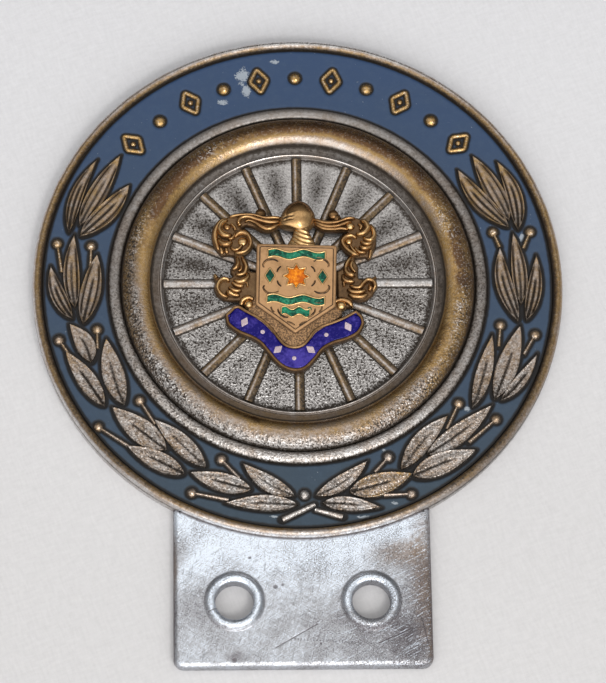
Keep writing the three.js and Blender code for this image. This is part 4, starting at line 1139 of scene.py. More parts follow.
def boltBore():
    # [radius, height] from the plate up the boss, over its flat top and down the hole
    foot, seat, hole = lug["bossFootRadius"], lug["bossTopRadius"], lug["holeRadius"]
    top, bossTop = lug["thickness"], lug["thickness"] + lug["bossHeight"]
    return [
        [foot + 0.3, top],
        [foot + 0.1, top + 0.01],
        [foot - 0.05, top + 0.08],
        [seat + 0.35, bossTop - 0.35],
        [seat + 0.1, bossTop - 0.1],
        [seat - 0.15, bossTop],
        [hole + 0.75, bossTop - 0.02],
        [hole + 0.25, bossTop - 0.16],
        [hole + 0.05, bossTop - 0.42],
        [hole, bossTop - 0.7],
        [hole, 0.2],
        [hole + 0.15, 0],
    ]


plate = Shell()
plateLevels = [[lug["footBevel"], 0], *bevelled(lug["footBevel"], lug["thickness"], lug["edge"])]
holes = [((side * lug["holeSpacing"] / 2, 0.0), boltBore()) for side in (-1, 1)]
plate.addPlate(lugOutline(), plateLevels, holes, dirt=lug["edgeGrimeAndShade"] + lug["boreGrimeAndShade"] * 2)
lugFinish = lugPlateFinish("scratched chromium plate", lug)
plate.make("lug_plate", lugFinish, "body_chrome", "badge_body", sharp=50)

# The struck gilt crest stands on the hub, turned and shifted a little as it was fixed. Its places are
# counted from the middle of the disc, its heights from its own back.
crest = {
    "base": 3.2,
    "shift": -0.4,
    "turn": -1.8,
    "copper": (0.33, 0.185, 0.08),
    "shadow": (0.03, 0.016, 0.008),
    "cloudSize": 3.0,
    "spotSize": 0.6,
    "reliefDepth": 0.03,
    # clouds and spots are how far each shifts the tone, pits where they start and where they are deepest
    "bright": {
        "gold": (0.62, 0.41, 0.19),
        "metallic": 1.0,
        "roughness": 0.16,
        "speckSize": 0.16,
        "clouds": 0.7,
        "spots": 0.6,
        "pits": (0.5, 0.7),
    },
    "matt": {
        "gold": (0.53, 0.31, 0.15),
        "metallic": 0.55,
        "roughness": 0.42,
        "speckSize": 0.3,
        "clouds": 1.3,
        "spots": 0.9,
        "pits": (0.42, 0.58),
    },
}


def giltFinish(name, look):
    f = Finish(name)
    brown, dirt, grain = f.paint("brown"), f.paint("dirt"), f.paint("grain")
    clouds, spots = f.noise(crest["cloudSize"], 3.0), f.noise(crest["spotSize"], 3.0, 0.6)
    specks = f.noise(look["speckSize"], 2.0, 0.6)
    tone = (brown + (clouds - 0.5) * look["clouds"] + (spots - 0.5) * look["spots"]).held()
    colour = f.ramp(tone, (0.0, look["gold"]), (0.55, crest["copper"]), (1.0, crest["shadow"]))
    grimeAndShade = (dirt + specks.step(*look["pits"]) * grain * 0.7).held()
    values = {
        "Base Color": f.mix((grimeAndShade * 0.92).held(), colour, crest["shadow"]),
        "Metallic": look["metallic"] - grimeAndShade * 0.5,
        "Roughness": (look["roughness"] + spots * 0.12 + grimeAndShade * 0.3).held(),
        "Normal": f.relief(specks * (0.2 + grain) + spots * 0.4, crest["reliefDepth"]),
    }
    return f.surface(values)


giltMetal = giltFinish("worn gilt", crest["bright"])
mattGilt = giltFinish("matt gilt", crest["matt"])


def onCrest(points):
    # from the crest's own frame to the badge's
    return spun(np.asarray(points, float), crest["turn"]) + discCentre + [crest["shift"], 0]


def addRidge(shell, rows, foot=0.5, darker=0.0):
    # a ridge along a smooth line of [x, y, half width, height], half an ellipse across and round at its
    # ends, where it is drawn in by the root of 1 - t^10 and is lower by as much
    line = smoothLine(rows, 9 * len(rows))
    t = np.linspace(-1, 1, len(line))
    drawn = np.sqrt(np.clip(1.02 - t**10, 0, 1))[:, None]
    half = mantling["spread"] * line[:, 2:3] * drawn
    turn = np.linspace(math.pi, 0, 21)
    across, rise = np.cos(turn), np.sin(turn)[None]
    top = line[:, 3:4] * np.clip(drawn, 0.3, 1)
    level = crest["base"] + foot + (top - foot) * rise
    level[:, [0, -1]] = crest["base"] + foot - 0.3
    # browner down the flank on the right of its line as painted shade, and browner nearer to the middle of
    # the crest
    shadedFlank, nearMiddle = smoothStep(-across, -0.6, 0.9)[None], smoothStep(10 - np.abs(line[:, :1]), 0, 3)
    brown = mantling["brown"] + darker + mantling["flankShade"] * shadedFlank
    # grime and painted shade darken it down to its feet
    shell.add(
        carried(line[:, :2] + discCentre, half[:, 0], across, level),
        dirt=np.clip(1.3 - 1.55 * rise, 0, 1),
        brown=brown + mantling["middleBrown"] * nearMiddle,
        grain=0.1,
    )


def addBoss(shell, x, y, radius, height, brown):
    foot, top = crest["base"] + mantling["bossFoot"], crest["base"] + height
    rings = domeRings(discCentre + [x, y], radius, foot, top)
    shell.add(rings, dirt=footGrimeAndShade(rings, fall=0.25), brown=brown, grain=0.1)


mantling = {
    # each body is the outline of one side's folds, upper or lower
    "bodies": [
        [(-6.2, 12.0), (-8.2, 12.7), (-11.0, 12.8), (-13.2, 12.2), (-14.7, 10.9), (-15.4, 9.0),
         (-15.3, 7.2), (-14.6, 5.8), (-13.8, 4.7), (-12.6, 4.9), (-11.2, 4.7), (-9.6, 4.9), (-8.4, 5.8),
         (-7.9, 7.3), (-8.5, 8.8), (-9.8, 9.5), (-10.0, 10.2), (-9.4, 10.6), (-8.0, 10.3), (-6.6, 9.4),
         (-5.2, 9.2), (-4.0, 9.8), (-2.6, 10.6), (-2.0, 11.5), (-2.8, 12.3), (-4.8, 12.2)],
        [(2.2, 12.2), (4.0, 11.6), (5.6, 11.2), (7.4, 11.5), (9.2, 12.1), (10.8, 12.2), (12.4, 11.5),
         (13.6, 10.2), (14.2, 8.6), (14.2, 7.0), (13.7, 5.6), (13.2, 4.4), (12.7, 3.7), (12.2, 4.4),
         (11.0, 4.3), (9.8, 4.3), (8.6, 5.2), (7.6, 6.4), (7.4, 7.6), (8.2, 8.6), (9.0, 9.0), (8.6, 9.5),
         (7.0, 9.4), (5.4, 9.2), (4.0, 9.8), (2.2, 10.8)],
        [(-11.6, 5.2), (-11.4, 3.6), (-12.2, 2.3), (-12.2, 1.5), (-11.7, 0.9), (-12.4, 0.7), (-13.2, 0.7),
         (-14.3, 0.9), (-15.1, 1.5), (-15.2, 0.6), (-15.0, -0.2), (-15.2, -1.6), (-14.6, -2.9),
         (-13.4, -3.7), (-11.8, -3.9), (-10.4, -3.9), (-9.2, -5.0), (-7.0, -5.2), (-6.8, 1.8), (-8.6, 1.9),
         (-8.8, 2.9), (-9.2, 3.8), (-9.8, 5.2)],
        [(10.4, 5.0), (10.3, 3.8), (10.9, 2.6), (10.8, 1.4), (10.8, 0.5), (11.6, 0.3), (12.6, 0.3),
         (13.6, 0.4), (14.1, 0.8), (14.0, -0.4), (14.0, -1.6), (13.3, -3.0), (12.0, -3.9), (10.6, -4.1),
         (9.6, -3.8), (9.4, -5.2), (6.9, -5.4), (6.8, 1.8), (7.7, 2.2), (8.4, 3.4), (9.2, 5.0)],
    ],
    "bodyHeight": 0.95,
    "edge": [(0, 0.6), (0.07, 0.38), (0.18, 0.18), (0.32, 0.05), (0.46, 0), (0.5, 0)],
    "edgeGrimeAndShade": [1, 0.9, 0.85, 0.75, 0.68, 0.64, 0.62],
    "corner": 0.3,
    "bossFoot": 0.3,
    # how brown a ridge is, and how much browner on its flank, as painted shade, and near the middle of the
    # crest
    "brown": 0.24,
    "flankShade": 0.32,
    "middleBrown": 0.22,
    # ridges: x, y, half width and height along each; spread widens them all
    "spread": 1.5,
    "ridges": [
        # left arm
        [(-2.8, 12.0, 0.25, 1.5), (-4.4, 12.0, 0.32, 1.6), (-6.0, 12.0, 0.35, 1.6), (-8.0, 12.5, 0.3, 1.7),
         (-10.4, 12.5, 0.3, 1.7), (-12.4, 12.2, 0.28, 1.6)],
        [(-2.9, 11.5, 0.25, 1.5), (-4.2, 11.1, 0.35, 1.7), (-5.6, 11.2, 0.4, 1.8), (-7.2, 11.6, 0.38, 1.9),
         (-8.8, 12.1, 0.35, 1.9), (-10.0, 11.9, 0.35, 1.9), (-10.6, 11.2, 0.32, 1.9),
         (-10.4, 10.4, 0.35, 1.9)],
        [(-3.0, 11.0, 0.22, 1.5), (-4.2, 10.2, 0.38, 1.7), (-5.4, 9.8, 0.42, 1.8), (-6.6, 10.3, 0.4, 1.8),
         (-7.8, 11.1, 0.3, 1.7), (-8.8, 11.4, 0.22, 1.6), (-9.6, 11.1, 0.2, 1.5)],
        # upper left scroll, from its outer fold inwards
        [(-12.6, 12.0, 0.28, 1.6), (-13.9, 11.2, 0.35, 1.7), (-14.7, 9.8, 0.42, 1.8),
         (-14.9, 8.2, 0.42, 1.8), (-14.6, 6.8, 0.35, 1.6), (-14.1, 5.6, 0.22, 1.4)],
        [(-12.4, 11.6, 0.3, 1.6), (-13.4, 11.2, 0.38, 1.8), (-14.0, 10.3, 0.42, 1.9),
         (-13.9, 9.3, 0.45, 2.0), (-13.2, 8.6, 0.5, 2.0), (-12.4, 8.5, 0.42, 1.9), (-11.8, 8.9, 0.25, 1.6)],
        [(-14.2, 8.2, 0.25, 1.5), (-13.9, 7.3, 0.42, 1.8), (-13.1, 6.8, 0.48, 2.0),
         (-12.3, 7.0, 0.42, 1.9), (-11.8, 7.6, 0.25, 1.6)],
        [(-12.6, 7.9, 0.2, 1.4), (-12.0, 7.9, 0.28, 1.6), (-11.5, 8.4, 0.25, 1.6), (-11.2, 9.2, 0.2, 1.5)],
        [(-13.9, 6.1, 0.3, 1.7), (-13.7, 5.4, 0.35, 1.6), (-13.6, 4.9, 0.2, 1.3)],
        [(-12.9, 6.1, 0.3, 1.6), (-12.8, 5.5, 0.32, 1.6), (-12.6, 5.0, 0.18, 1.3)],
        [(-12.1, 6.4, 0.22, 1.5), (-11.4, 5.8, 0.3, 1.6), (-10.5, 6.1, 0.32, 1.6), (-9.9, 7.0, 0.26, 1.5)],
        [(-11.4, 8.0, 0.22, 1.5), (-10.8, 8.8, 0.36, 1.8), (-9.9, 9.1, 0.42, 1.9), (-9.0, 8.6, 0.4, 1.9),
         (-8.5, 7.5, 0.36, 1.9), (-8.6, 6.4, 0.34, 1.8), (-9.4, 5.5, 0.34, 1.8), (-10.5, 5.2, 0.36, 1.8),
         (-11.6, 5.3, 0.28, 1.6)],
        [(-12.0, 11.0, 0.22, 1.4), (-11.4, 10.2, 0.28, 1.5), (-11.2, 9.4, 0.2, 1.4)],
        # left link
        [(-11.0, 4.6, 0.25, 1.5), (-10.8, 3.4, 0.36, 1.8), (-11.1, 2.4, 0.38, 1.9),
         (-11.9, 1.9, 0.25, 1.5)],
        [(-10.2, 4.6, 0.25, 1.5), (-9.6, 3.5, 0.36, 1.7), (-9.3, 2.4, 0.36, 1.8), (-9.6, 1.4, 0.34, 1.7),
         (-10.5, 1.0, 0.34, 1.7), (-11.4, 1.2, 0.22, 1.5)],
        [(-10.3, 2.9, 0.2, 1.4), (-10.2, 2.1, 0.25, 1.5), (-10.8, 1.6, 0.2, 1.4)],
        [(-9.0, 1.5, 0.25, 1.5), (-9.1, 0.5, 0.38, 1.8), (-9.8, -0.2, 0.46, 2.0), (-10.8, -0.3, 0.4, 1.8),
         (-11.6, 0.2, 0.25, 1.5)],
        [(-9.2, -0.4, 0.22, 1.5), (-9.1, -1.3, 0.2, 1.4)],
        # lower left scroll
        [(-12.4, -0.5, 0.28, 1.6), (-12.7, 0.1, 0.34, 1.8), (-13.5, 0.2, 0.38, 1.9),
         (-14.2, -0.4, 0.38, 1.9), (-14.5, -1.4, 0.36, 1.9), (-14.2, -2.3, 0.34, 1.9),
         (-13.4, -3.0, 0.32, 1.7), (-12.4, -3.3, 0.25, 1.5)],
        [(-14.6, 0.4, 0.32, 1.7), (-15.0, 1.1, 0.26, 1.5)],
        [(-11.9, -0.3, 0.25, 1.5), (-11.3, -0.9, 0.34, 1.7), (-10.4, -1.2, 0.32, 1.7),
         (-9.7, -1.0, 0.22, 1.5)],
        [(-12.5, -1.2, 0.25, 1.5), (-11.8, -1.9, 0.36, 1.8), (-10.9, -2.1, 0.34, 1.7),
         (-10.1, -1.9, 0.22, 1.5)],
        [(-13.1, -2.2, 0.25, 1.5), (-12.3, -2.5, 0.42, 2.0), (-11.4, -2.9, 0.36, 1.7),
         (-10.4, -2.9, 0.25, 1.5)],
        [(-10.3, -5.0, 0.25, 1.3), (-10.0, -3.9, 0.4, 1.7), (-8.9, -3.4, 0.42, 1.8),
         (-7.9, -3.9, 0.3, 1.6)],
        # right arm
        [(2.6, 11.9, 0.25, 1.5), (4.4, 11.1, 0.35, 1.7), (6.0, 10.9, 0.38, 1.8), (7.4, 11.1, 0.36, 1.8),
         (9.0, 11.7, 0.32, 1.8), (10.6, 11.8, 0.26, 1.7)],
        [(2.8, 11.3, 0.25, 1.5), (4.4, 10.5, 0.35, 1.7), (6.0, 10.2, 0.38, 1.8), (7.5, 10.4, 0.36, 1.8),
         (8.8, 10.9, 0.3, 1.7), (9.9, 11.2, 0.22, 1.6)],
        [(3.0, 10.8, 0.22, 1.5), (4.6, 9.9, 0.34, 1.6), (6.4, 9.7, 0.36, 1.7), (8.0, 9.8, 0.34, 1.7),
         (9.2, 9.5, 0.26, 1.6)],
        # upper right scroll
        [(11.2, 11.5, 0.28, 1.7), (12.2, 11.0, 0.42, 1.9), (12.6, 10.0, 0.48, 2.0), (12.1, 9.1, 0.46, 2.0),
         (11.2, 8.7, 0.4, 1.9), (10.4, 8.9, 0.25, 1.6)],
        [(13.0, 10.8, 0.25, 1.6), (13.6, 9.6, 0.34, 1.8), (13.7, 8.4, 0.38, 1.8), (13.1, 7.6, 0.4, 1.9),
         (12.3, 7.7, 0.34, 1.8), (11.7, 8.2, 0.2, 1.5)],
        [(10.9, 10.8, 0.22, 1.5), (11.5, 10.2, 0.28, 1.6), (11.2, 9.5, 0.22, 1.5)],
        [(11.2, 7.4, 0.22, 1.5), (12.1, 6.8, 0.38, 1.9), (13.0, 6.9, 0.36, 1.8), (13.7, 7.5, 0.22, 1.5)],
        [(11.0, 6.5, 0.22, 1.5), (11.8, 5.9, 0.4, 2.0), (12.8, 6.1, 0.34, 1.8), (13.5, 6.6, 0.2, 1.5)],
        [(10.2, 6.4, 0.2, 1.5), (10.7, 5.5, 0.3, 1.7), (11.5, 5.1, 0.32, 1.8), (12.4, 5.2, 0.22, 1.5)],
        [(10.8, 7.8, 0.22, 1.5), (9.8, 8.4, 0.36, 1.8), (8.7, 8.2, 0.4, 1.9), (8.0, 7.3, 0.38, 1.9),
         (8.4, 6.3, 0.34, 1.8), (9.3, 5.4, 0.34, 1.8), (10.2, 4.8, 0.38, 1.9), (11.3, 4.7, 0.25, 1.5)],
        [(9.3, 6.8, 0.2, 1.5), (9.8, 5.9, 0.26, 1.6), (10.6, 4.9, 0.2, 1.5)],
        [(13.2, 5.7, 0.26, 1.6), (13.0, 4.9, 0.3, 1.5), (12.8, 4.1, 0.18, 1.2)],
        # right link
        [(9.7, 4.6, 0.25, 1.5), (8.9, 3.4, 0.34, 1.7), (8.5, 2.2, 0.34, 1.7), (8.8, 1.2, 0.42, 1.9),
         (9.6, 0.8, 0.46, 2.0), (10.4, 0.7, 0.22, 1.5)],
        [(9.9, 3.7, 0.22, 1.5), (9.5, 2.8, 0.3, 1.6), (9.8, 1.9, 0.3, 1.6), (10.4, 1.3, 0.2, 1.5)],
        [(8.0, 1.2, 0.2, 1.4), (8.1, 0.1, 0.32, 1.7), (8.9, -0.4, 0.36, 1.8), (10.2, -0.4, 0.28, 1.6)],
        [(8.1, -0.4, 0.25, 1.5), (8.2, -1.3, 0.25, 1.5)],
        # lower right scroll
        [(9.0, -1.0, 0.25, 1.5), (10.0, -1.5, 0.34, 1.7), (11.0, -1.5, 0.34, 1.8), (11.7, -0.7, 0.36, 1.9),
         (12.5, -0.1, 0.38, 1.9), (13.4, -0.4, 0.38, 1.9), (13.7, -1.3, 0.34, 1.8),
         (13.2, -2.3, 0.22, 1.5)],
        [(8.6, -1.8, 0.25, 1.5), (9.8, -2.4, 0.38, 1.8), (11.2, -2.4, 0.36, 1.8), (12.2, -1.9, 0.22, 1.5)],
        [(8.8, -2.7, 0.25, 1.5), (10.0, -3.3, 0.38, 1.8), (11.4, -3.3, 0.36, 1.7), (12.5, -2.7, 0.25, 1.5)],
        [(12.6, -2.3, 0.22, 1.5), (12.9, -1.6, 0.4, 1.9), (12.6, -1.0, 0.22, 1.5)],
        [(13.4, 0.0, 0.25, 1.6), (13.9, 0.6, 0.16, 1.3)],
        [(6.3, -5.4, 0.25, 1.3), (6.5, -4.3, 0.4, 1.7), (7.7, -3.9, 0.42, 1.8), (9.0, -4.3, 0.4, 1.7),
         (9.6, -5.3, 0.25, 1.3)],
    ],
    # round bosses: x, y, radius, height and brown
    "bosses": [
        (-10.4, 10.5, 0.42, 2.0, 0.0),
        (-9.9, 7.4, 0.95, 1.5, 0.1),
        (-12.7, 10.3, 0.75, 1.35, 0.6),
        (-6.6, 12.9, 1.0, 1.5, 0.8),
        (-7.3, 12.3, 0.8, 1.4, 0.8),
        (-12.3, -2.4, 0.35, 2.1, 0.0),
        (-8.9, -4.7, 0.85, 2.0, 0.0),
        (9.5, 10.2, 0.85, 1.9, 0.0),
        (9.2, 7.3, 0.7, 1.6, 0.1),
        (6.5, 12.6, 1.0, 1.5, 0.8),
        (7.1, 12.0, 0.8, 1.4, 0.8),
        (7.6, -5.0, 0.95, 2.0, 0.0),
    ],
}
scrolls = Shell()
base = crest["base"]
bodyLevels = bevelled(base, base + mantling["bodyHeight"], mantling["edge"])
for body in mantling["bodies"]:
    bodyOutline = resampled(rounded(np.array(body) + discCentre, mantling["corner"]), 260)
    # the bodies show between the ridges and are painted brown and dark all over, painted shade in the grooves
    scrolls.addPlate(bodyOutline, bodyLevels, dirt=mantling["edgeGrimeAndShade"], brown=0.55, grain=0.4)
for rows in mantling["ridges"]:
    addRidge(scrolls, rows)
for place in mantling["bosses"]:
    addBoss(scrolls, *place)
scrolls.make("crest_mantling", giltMetal, "crest_gilt", "crest")

# The helm, seen from one side: rows of y with the left and right edge, from the gorget to the crown
helm = {
    "gorget": [
        (6.5, -1.9, 3.3), (7.2, -1.7, 3.1), (8.0, -1.2, 2.7), (8.8, -0.9, 2.3), (9.6, -0.7, 2.0),
        (10.4, -0.7, 1.9),
    ],
    "skull": [
        (9.6, -1.0, 1.6),
        (9.9, -2.1, 2.3),
        (10.4, -3.3, 2.8),
        (11.0, -3.5, 3.1),
        (11.8, -3.2, 3.25),
        (12.8, -2.9, 3.2),
        (13.6, -2.5, 2.8),
        (14.3, -2.0, 2.4),
        (14.8, -1.4, 1.9),
        (15.1, -0.7, 1.2),
    ],
    "height": 2.8,
    "crownMiddle": 12.2,
    "crownReach": 3.4,
    # two slits slant across the front: y, rise along x, width, and the middle and reach in x
    "slits": [(11.75, 0.12, 0.17, -1.9, 0.9), (11.15, 0.1, 0.15, -1.7, 0.8)],
    "slitDepth": 0.45,
    # the brow is y, rise along x and width, the comb x, bow along y and width
    "brow": (12.3, 0.25, 0.22),
    "browHeight": 0.12,
    "comb": (-0.1, 0.03, 0.22),
    "combHeight": 0.06,
    "gorgetHeight": 1.7,
    "foldHeight": 0.14,
    # how far the wave of the folds turns over a millimetre, in radians
    "foldTurn": 7.5,
}


def pillow(rows, count):
    # rings across a shape whose left and right edges are given at each y, round from edge to edge
    line = smoothLine(rows, count)
    turn = np.linspace(math.pi, 0, 33)
    middle, half = (line[:, 1] + line[:, 2]) / 2, (line[:, 2] - line[:, 1]) / 2
    x = middle[:, None] + half[:, None] * np.cos(turn)
    return x, line[:, :1] + 0 * x, np.sin(turn)[None] + 0 * x


def addPillow(shell, x, y, level, **paints):
    level[:, [0, -1]] = base
    shell.add(np.stack([x + discCentre[0], y + discCentre[1], level], -1), grain=0.1, **paints)


helmShell = Shell()
x, y, rise = pillow(helm["gorget"], 40)
# the gorget's folds are a sine wave along y, and sag by a parabola across it
folds = np.sin((y - 0.16 * (x - 0.7) ** 2 + 0.45 * (x - 0.7)) * helm["foldTurn"])
level = base + helm["gorgetHeight"] * (0.35 + 0.65 * rise**0.7) + helm["foldHeight"] * folds * rise
# painted shade: darker low on the gorget's round and in the troughs of its folds
addPillow(helmShell, x, y, level, brown=0.15, dirt=np.clip(0.9 - rise * 1.1 - 0.35 * folds, 0, 1))
x, y, rise = pillow(helm["skull"], 60)
# the skull is half an ellipse along y too
crown = np.sqrt(np.clip(1 - ((y - helm["crownMiddle"]) / helm["crownReach"]) ** 2, 0, 1))
slits = sum(
    bell(y - place - slope * (x + 2), width) * bell(x - middle, reach)
    for place, slope, width, middle, reach in helm["slits"]
)
browPlace, browRise, browWidth = helm["brow"]
brow = bell(y - browPlace - browRise * (x + 1), browWidth) * smoothStep(-x, -0.4, 0.4)
combPlace, combBow, combWidth = helm["comb"]
comb = bell(x - combPlace - combBow * (y - 12) ** 2, combWidth) * smoothStep(y, 12.5, 13.5)
level = base + 0.2 + (helm["height"] - 0.2) * rise * crown - helm["slitDepth"] * slits
level = level + helm["browHeight"] * brow + helm["combHeight"] * comb
level = np.minimum(level, base + helm["height"])
# painted shade: darker down the skull's round and in the slits
grimeAndShade = np.clip(0.85 - rise * crown * 1.3 + 1.5 * slits, 0, 1)
addPillow(helmShell, x, y, level, brown=0.32 + 0.4 * smoothStep(y, 12, 14.6), dirt=grimeAndShade)
helmShell.make("crest_helm", giltMetal, "crest_gilt", "crest")

# The shield: a matt gilt plate with a groove inside its edge, and tendrils in its field
shield = {
    "width": 14.4,
    "top": 6.6,
    "shoulder": 5.1,
    "point": 10.4,
    "corner": 0.35,
    "height": 1.9,
    "edge": [
        (0, 0.35), (0.08, 0.12), (0.25, 0), (0.48, 0), (0.56, 0.08), (0.66, 0.08), (0.74, 0), (0.8, 0),
    ],
    # grime and painted shade at the foot of the edge and in its groove
    "edgeGrimeAndShade": [1, 0.9, 0.3, 0.1, 0.1, 0.85, 0.85, 0, 0],
    "edgeBrown": [0.5, 0.5, 0.3, 0.1, 0.1, 0.6, 0.6, 0, 0],
    "tendrilFoot": 1.75,
    "tendrilDarker": 0.35,
    # tendrils of the right side: x, y, half width and height along each
    "tendrils": [
        [(2.9, 3.0, 0.1, 2.02), (3.9, 3.6, 0.14, 2.06), (5.2, 3.5, 0.16, 2.08), (5.9, 2.6, 0.14, 2.06),
         (5.5, 1.9, 0.1, 2.02)],
        [(2.6, 2.4, 0.1, 2.02), (3.2, 1.8, 0.13, 2.06), (3.4, 1.1, 0.1, 2.02)],
        [(2.9, -2.2, 0.1, 2.02), (3.9, -2.8, 0.14, 2.06), (5.2, -2.7, 0.16, 2.08), (5.9, -1.8, 0.14, 2.06),
         (5.5, -1.1, 0.1, 2.02)],
        [(2.6, -1.6, 0.1, 2.02), (3.2, -1.0, 0.13, 2.06), (3.4, -0.3, 0.1, 2.02)],
        [(3.3, -5.6, 0.1, 2.02), (3.2, -6.4, 0.14, 2.06), (2.3, -7.3, 0.15, 2.07), (1.3, -7.4, 0.1, 2.02)],
        [(4.6, -5.3, 0.1, 2.02), (4.4, -6.0, 0.13, 2.05), (3.9, -6.5, 0.1, 2.02)],
        [(0.3, -9.0, 0.1, 2.02), (1.0, -8.5, 0.13, 2.06), (1.9, -8.2, 0.1, 2.02)],
    ],
}
shieldHalf, shieldTop = shield["width"] / 2, base + shield["height"]
shieldCorners = [
    (-shieldHalf, -shield["shoulder"]),
    (0, -shield["point"]),
    (shieldHalf, -shield["shoulder"]),
    (shieldHalf, shield["top"]),
    (-shieldHalf, shield["top"]),
]
shieldShell = Shell()
for rows in shield["tendrils"]:
    for side in (-1, 1):
        placed = np.array(rows) * [side, 1, 1, 1] + [crest["shift"], 0, 0, 0]
        addRidge(shieldShell, placed, foot=shield["tendrilFoot"], darker=shield["tendrilDarker"])
shieldShell.addPlate(
    onCrest(resampled(rounded(shieldCorners, shield["corner"]), 260)),
    bevelled(base, shieldTop, shield["edge"]),
    dirt=shield["edgeGrimeAndShade"],
    brown=shield["edgeBrown"],
)
shieldShell.make("crest_shield", mattGilt, "crest_gilt", "crest")

# The stippled border under the shield's point
border = {
    "height": 1.25,
    "outline": [
        (-8.6, -6.1), (-4.8, -9.7), (-0.8, -12.9), (1.0, -12.9), (4.5, -9.6), (8.5, -6.4), (7.2, -3.0),
        (-7.2, -3.0),
    ],
    "corner": 0.5,
    "edge": [(0, 0.2), (0.1, 0.02), (0.25, 0), (0.35, 0)],
    # grime and painted shade at the foot of the edge
    "edgeGrimeAndShade": [1, 0.8, 0.6, 0.25, 0.15],
    "edgeGrain": [0.2, 0.2, 0.6, 1, 1],
}
borderShell = Shell()
borderShell.addPlate(
    onCrest(resampled(rounded(border["outline"], border["corner"]), 200)),
    bevelled(base, base + border["height"], border["edge"]),
    dirt=border["edgeGrimeAndShade"],
    grain=border["edgeGrain"],
    brown=0.25,
)
borderShell.make("crest_border", mattGilt, "crest_gilt", "crest")

# The ribbon under the shield: rows of the inner and the outer edge from its left to its right end
ribbon = {
    "edges": [
        (-11.7, -5.0, -13.2, -6.6),
        (-10.7, -4.8, -12.8, -8.5),
        (-9.2, -5.7, -10.8, -10.1),
        (-7.6, -6.6, -8.6, -11.1),
        (-6.0, -7.7, -7.1, -12.1),
        (-4.6, -9.2, -5.8, -13.7),
        (-3.4, -10.9, -4.4, -15.5),
        (-2.3, -12.1, -2.8, -16.8),
        (-0.9, -12.5, -0.8, -17.4),
        (0.5, -12.1, 1.2, -16.9),
        (1.5, -11.0, 3.0, -15.1),
        (2.4, -9.7, 4.4, -13.3),
        (4.0, -8.6, 6.3, -12.2),
        (5.9, -7.9, 8.6, -11.5),
        (7.8, -7.1, 10.7, -10.3),
        (9.4, -6.2, 11.7, -8.4),
        (10.3, -5.8, 11.4, -6.9),
    ],
    "height": 1.45,
    # the rim of the plate, then its step down to the enamel
    "edge": [
        (0, 0.4), (0.08, 0.15), (0.22, 0), (0.4, 0), (0.56, 0.12), (0.62, 0.45), (0.72, 0.5),
    ],
    # grime and painted shade at the foot of the rim and down its step to the enamel
    "edgeGrimeAndShade": [1, 1, 0.85, 0.42, 0.3, 0.7, 1, 1],
    "edgeBrown": [0.7, 0.7, 0.65, 0.6, 0.5, 0.5, 0.6, 0.6],
    "fillInset": 0.64,
    "fillFoot": 0.9,
    "fillTop": 1.32,
    "fillEdge": [(0, 0.12), (0.08, 0.05), (0.3, 0), (0.4, 0)],
    # y where the ribbon starts to be paler, and where it is palest
    "lowerEnd": (-11.0, -15.0),
    # deep colour, bright colour and flecks
    "blues": [(0.004, 0.002, 0.12), (0.055, 0.04, 0.3), (0.12, 0.1, 0.45)],
    "pales": [(0.45, 0.36, 0.4), (0.62, 0.5, 0.55), (0.8, 0.75, 0.75)],
}
ribbonEdges = smoothLine(ribbon["edges"], 120)
ribbonLine = np.vstack([ribbonEdges[:, 2:], ribbonEdges[::-1, :2]]) + discCentre
ribbonLine = anticlockwise(resampled(ribbonLine, 320))
ribbonShell = Shell()
ribbonLevels = bevelled(base, base + ribbon["height"], ribbon["edge"])
ribbonShell.addPlate(ribbonLine, ribbonLevels, dirt=ribbon["edgeGrimeAndShade"], brown=ribbon["edgeBrown"])
ribbonShell.make("crest_ribbon", giltMetal, "crest_gilt", "crest")


def glassFinish(name, deep, bright, flecks, size, lift=0.3, paler=0.0):
    # translucent enamel over struck metal: deep colour with brighter grains of that size under a glossy
    # coat; lift brightens all of it, paler the ribbon's lower end
    f = Finish(name)
    clouds, grains, specks = f.noise(size * 4, 2.0), f.noise(size, 3.0, 0.65), f.noise(size * 0.35, 2.0)
    tone = (clouds - 0.5) * 2.1 + (grains - 0.5) * 1.7 + lift
    tone = (tone + f.y.step(*ribbon["lowerEnd"]) * paler).held() if paler else tone.held()
    colour = f.mix(tone, deep, bright)
    colour = f.mix((grains + specks).step(1.12, 1.3) * 0.4, colour, flecks)
    values = {
        "Base Color": colour,
        "Metallic": 0.1,
        "Roughness": (0.2 + (clouds - 0.5) * 0.12).held(),
        "Specular IOR Level": 0.12,
        "Coat Weight": 0.05,
        "Coat Roughness": 0.05,
        "Normal": f.relief(clouds * 1.5 + grains * 0.4, 0.05),
    }
    return f.surface(values)


blueGlass = glassFinish("deep blue enamel", *ribbon["blues"], size=0.5, lift=0.05, paler=0.75)
paleGlass = glassFinish("pale enamel", *ribbon["pales"], size=0.3)
fill = Shell()
fillTop = base + ribbon["fillTop"]
fillLevels = bevelled(base + ribbon["fillFoot"], fillTop, ribbon["fillEdge"])
fill.addPlate(drawnIn(ribbonLine, ribbon["fillInset"]), fillLevels)
fill.make("ribbon_enamel_fill", blueGlass, "ribbon_enamel", "ribbon_enamel")

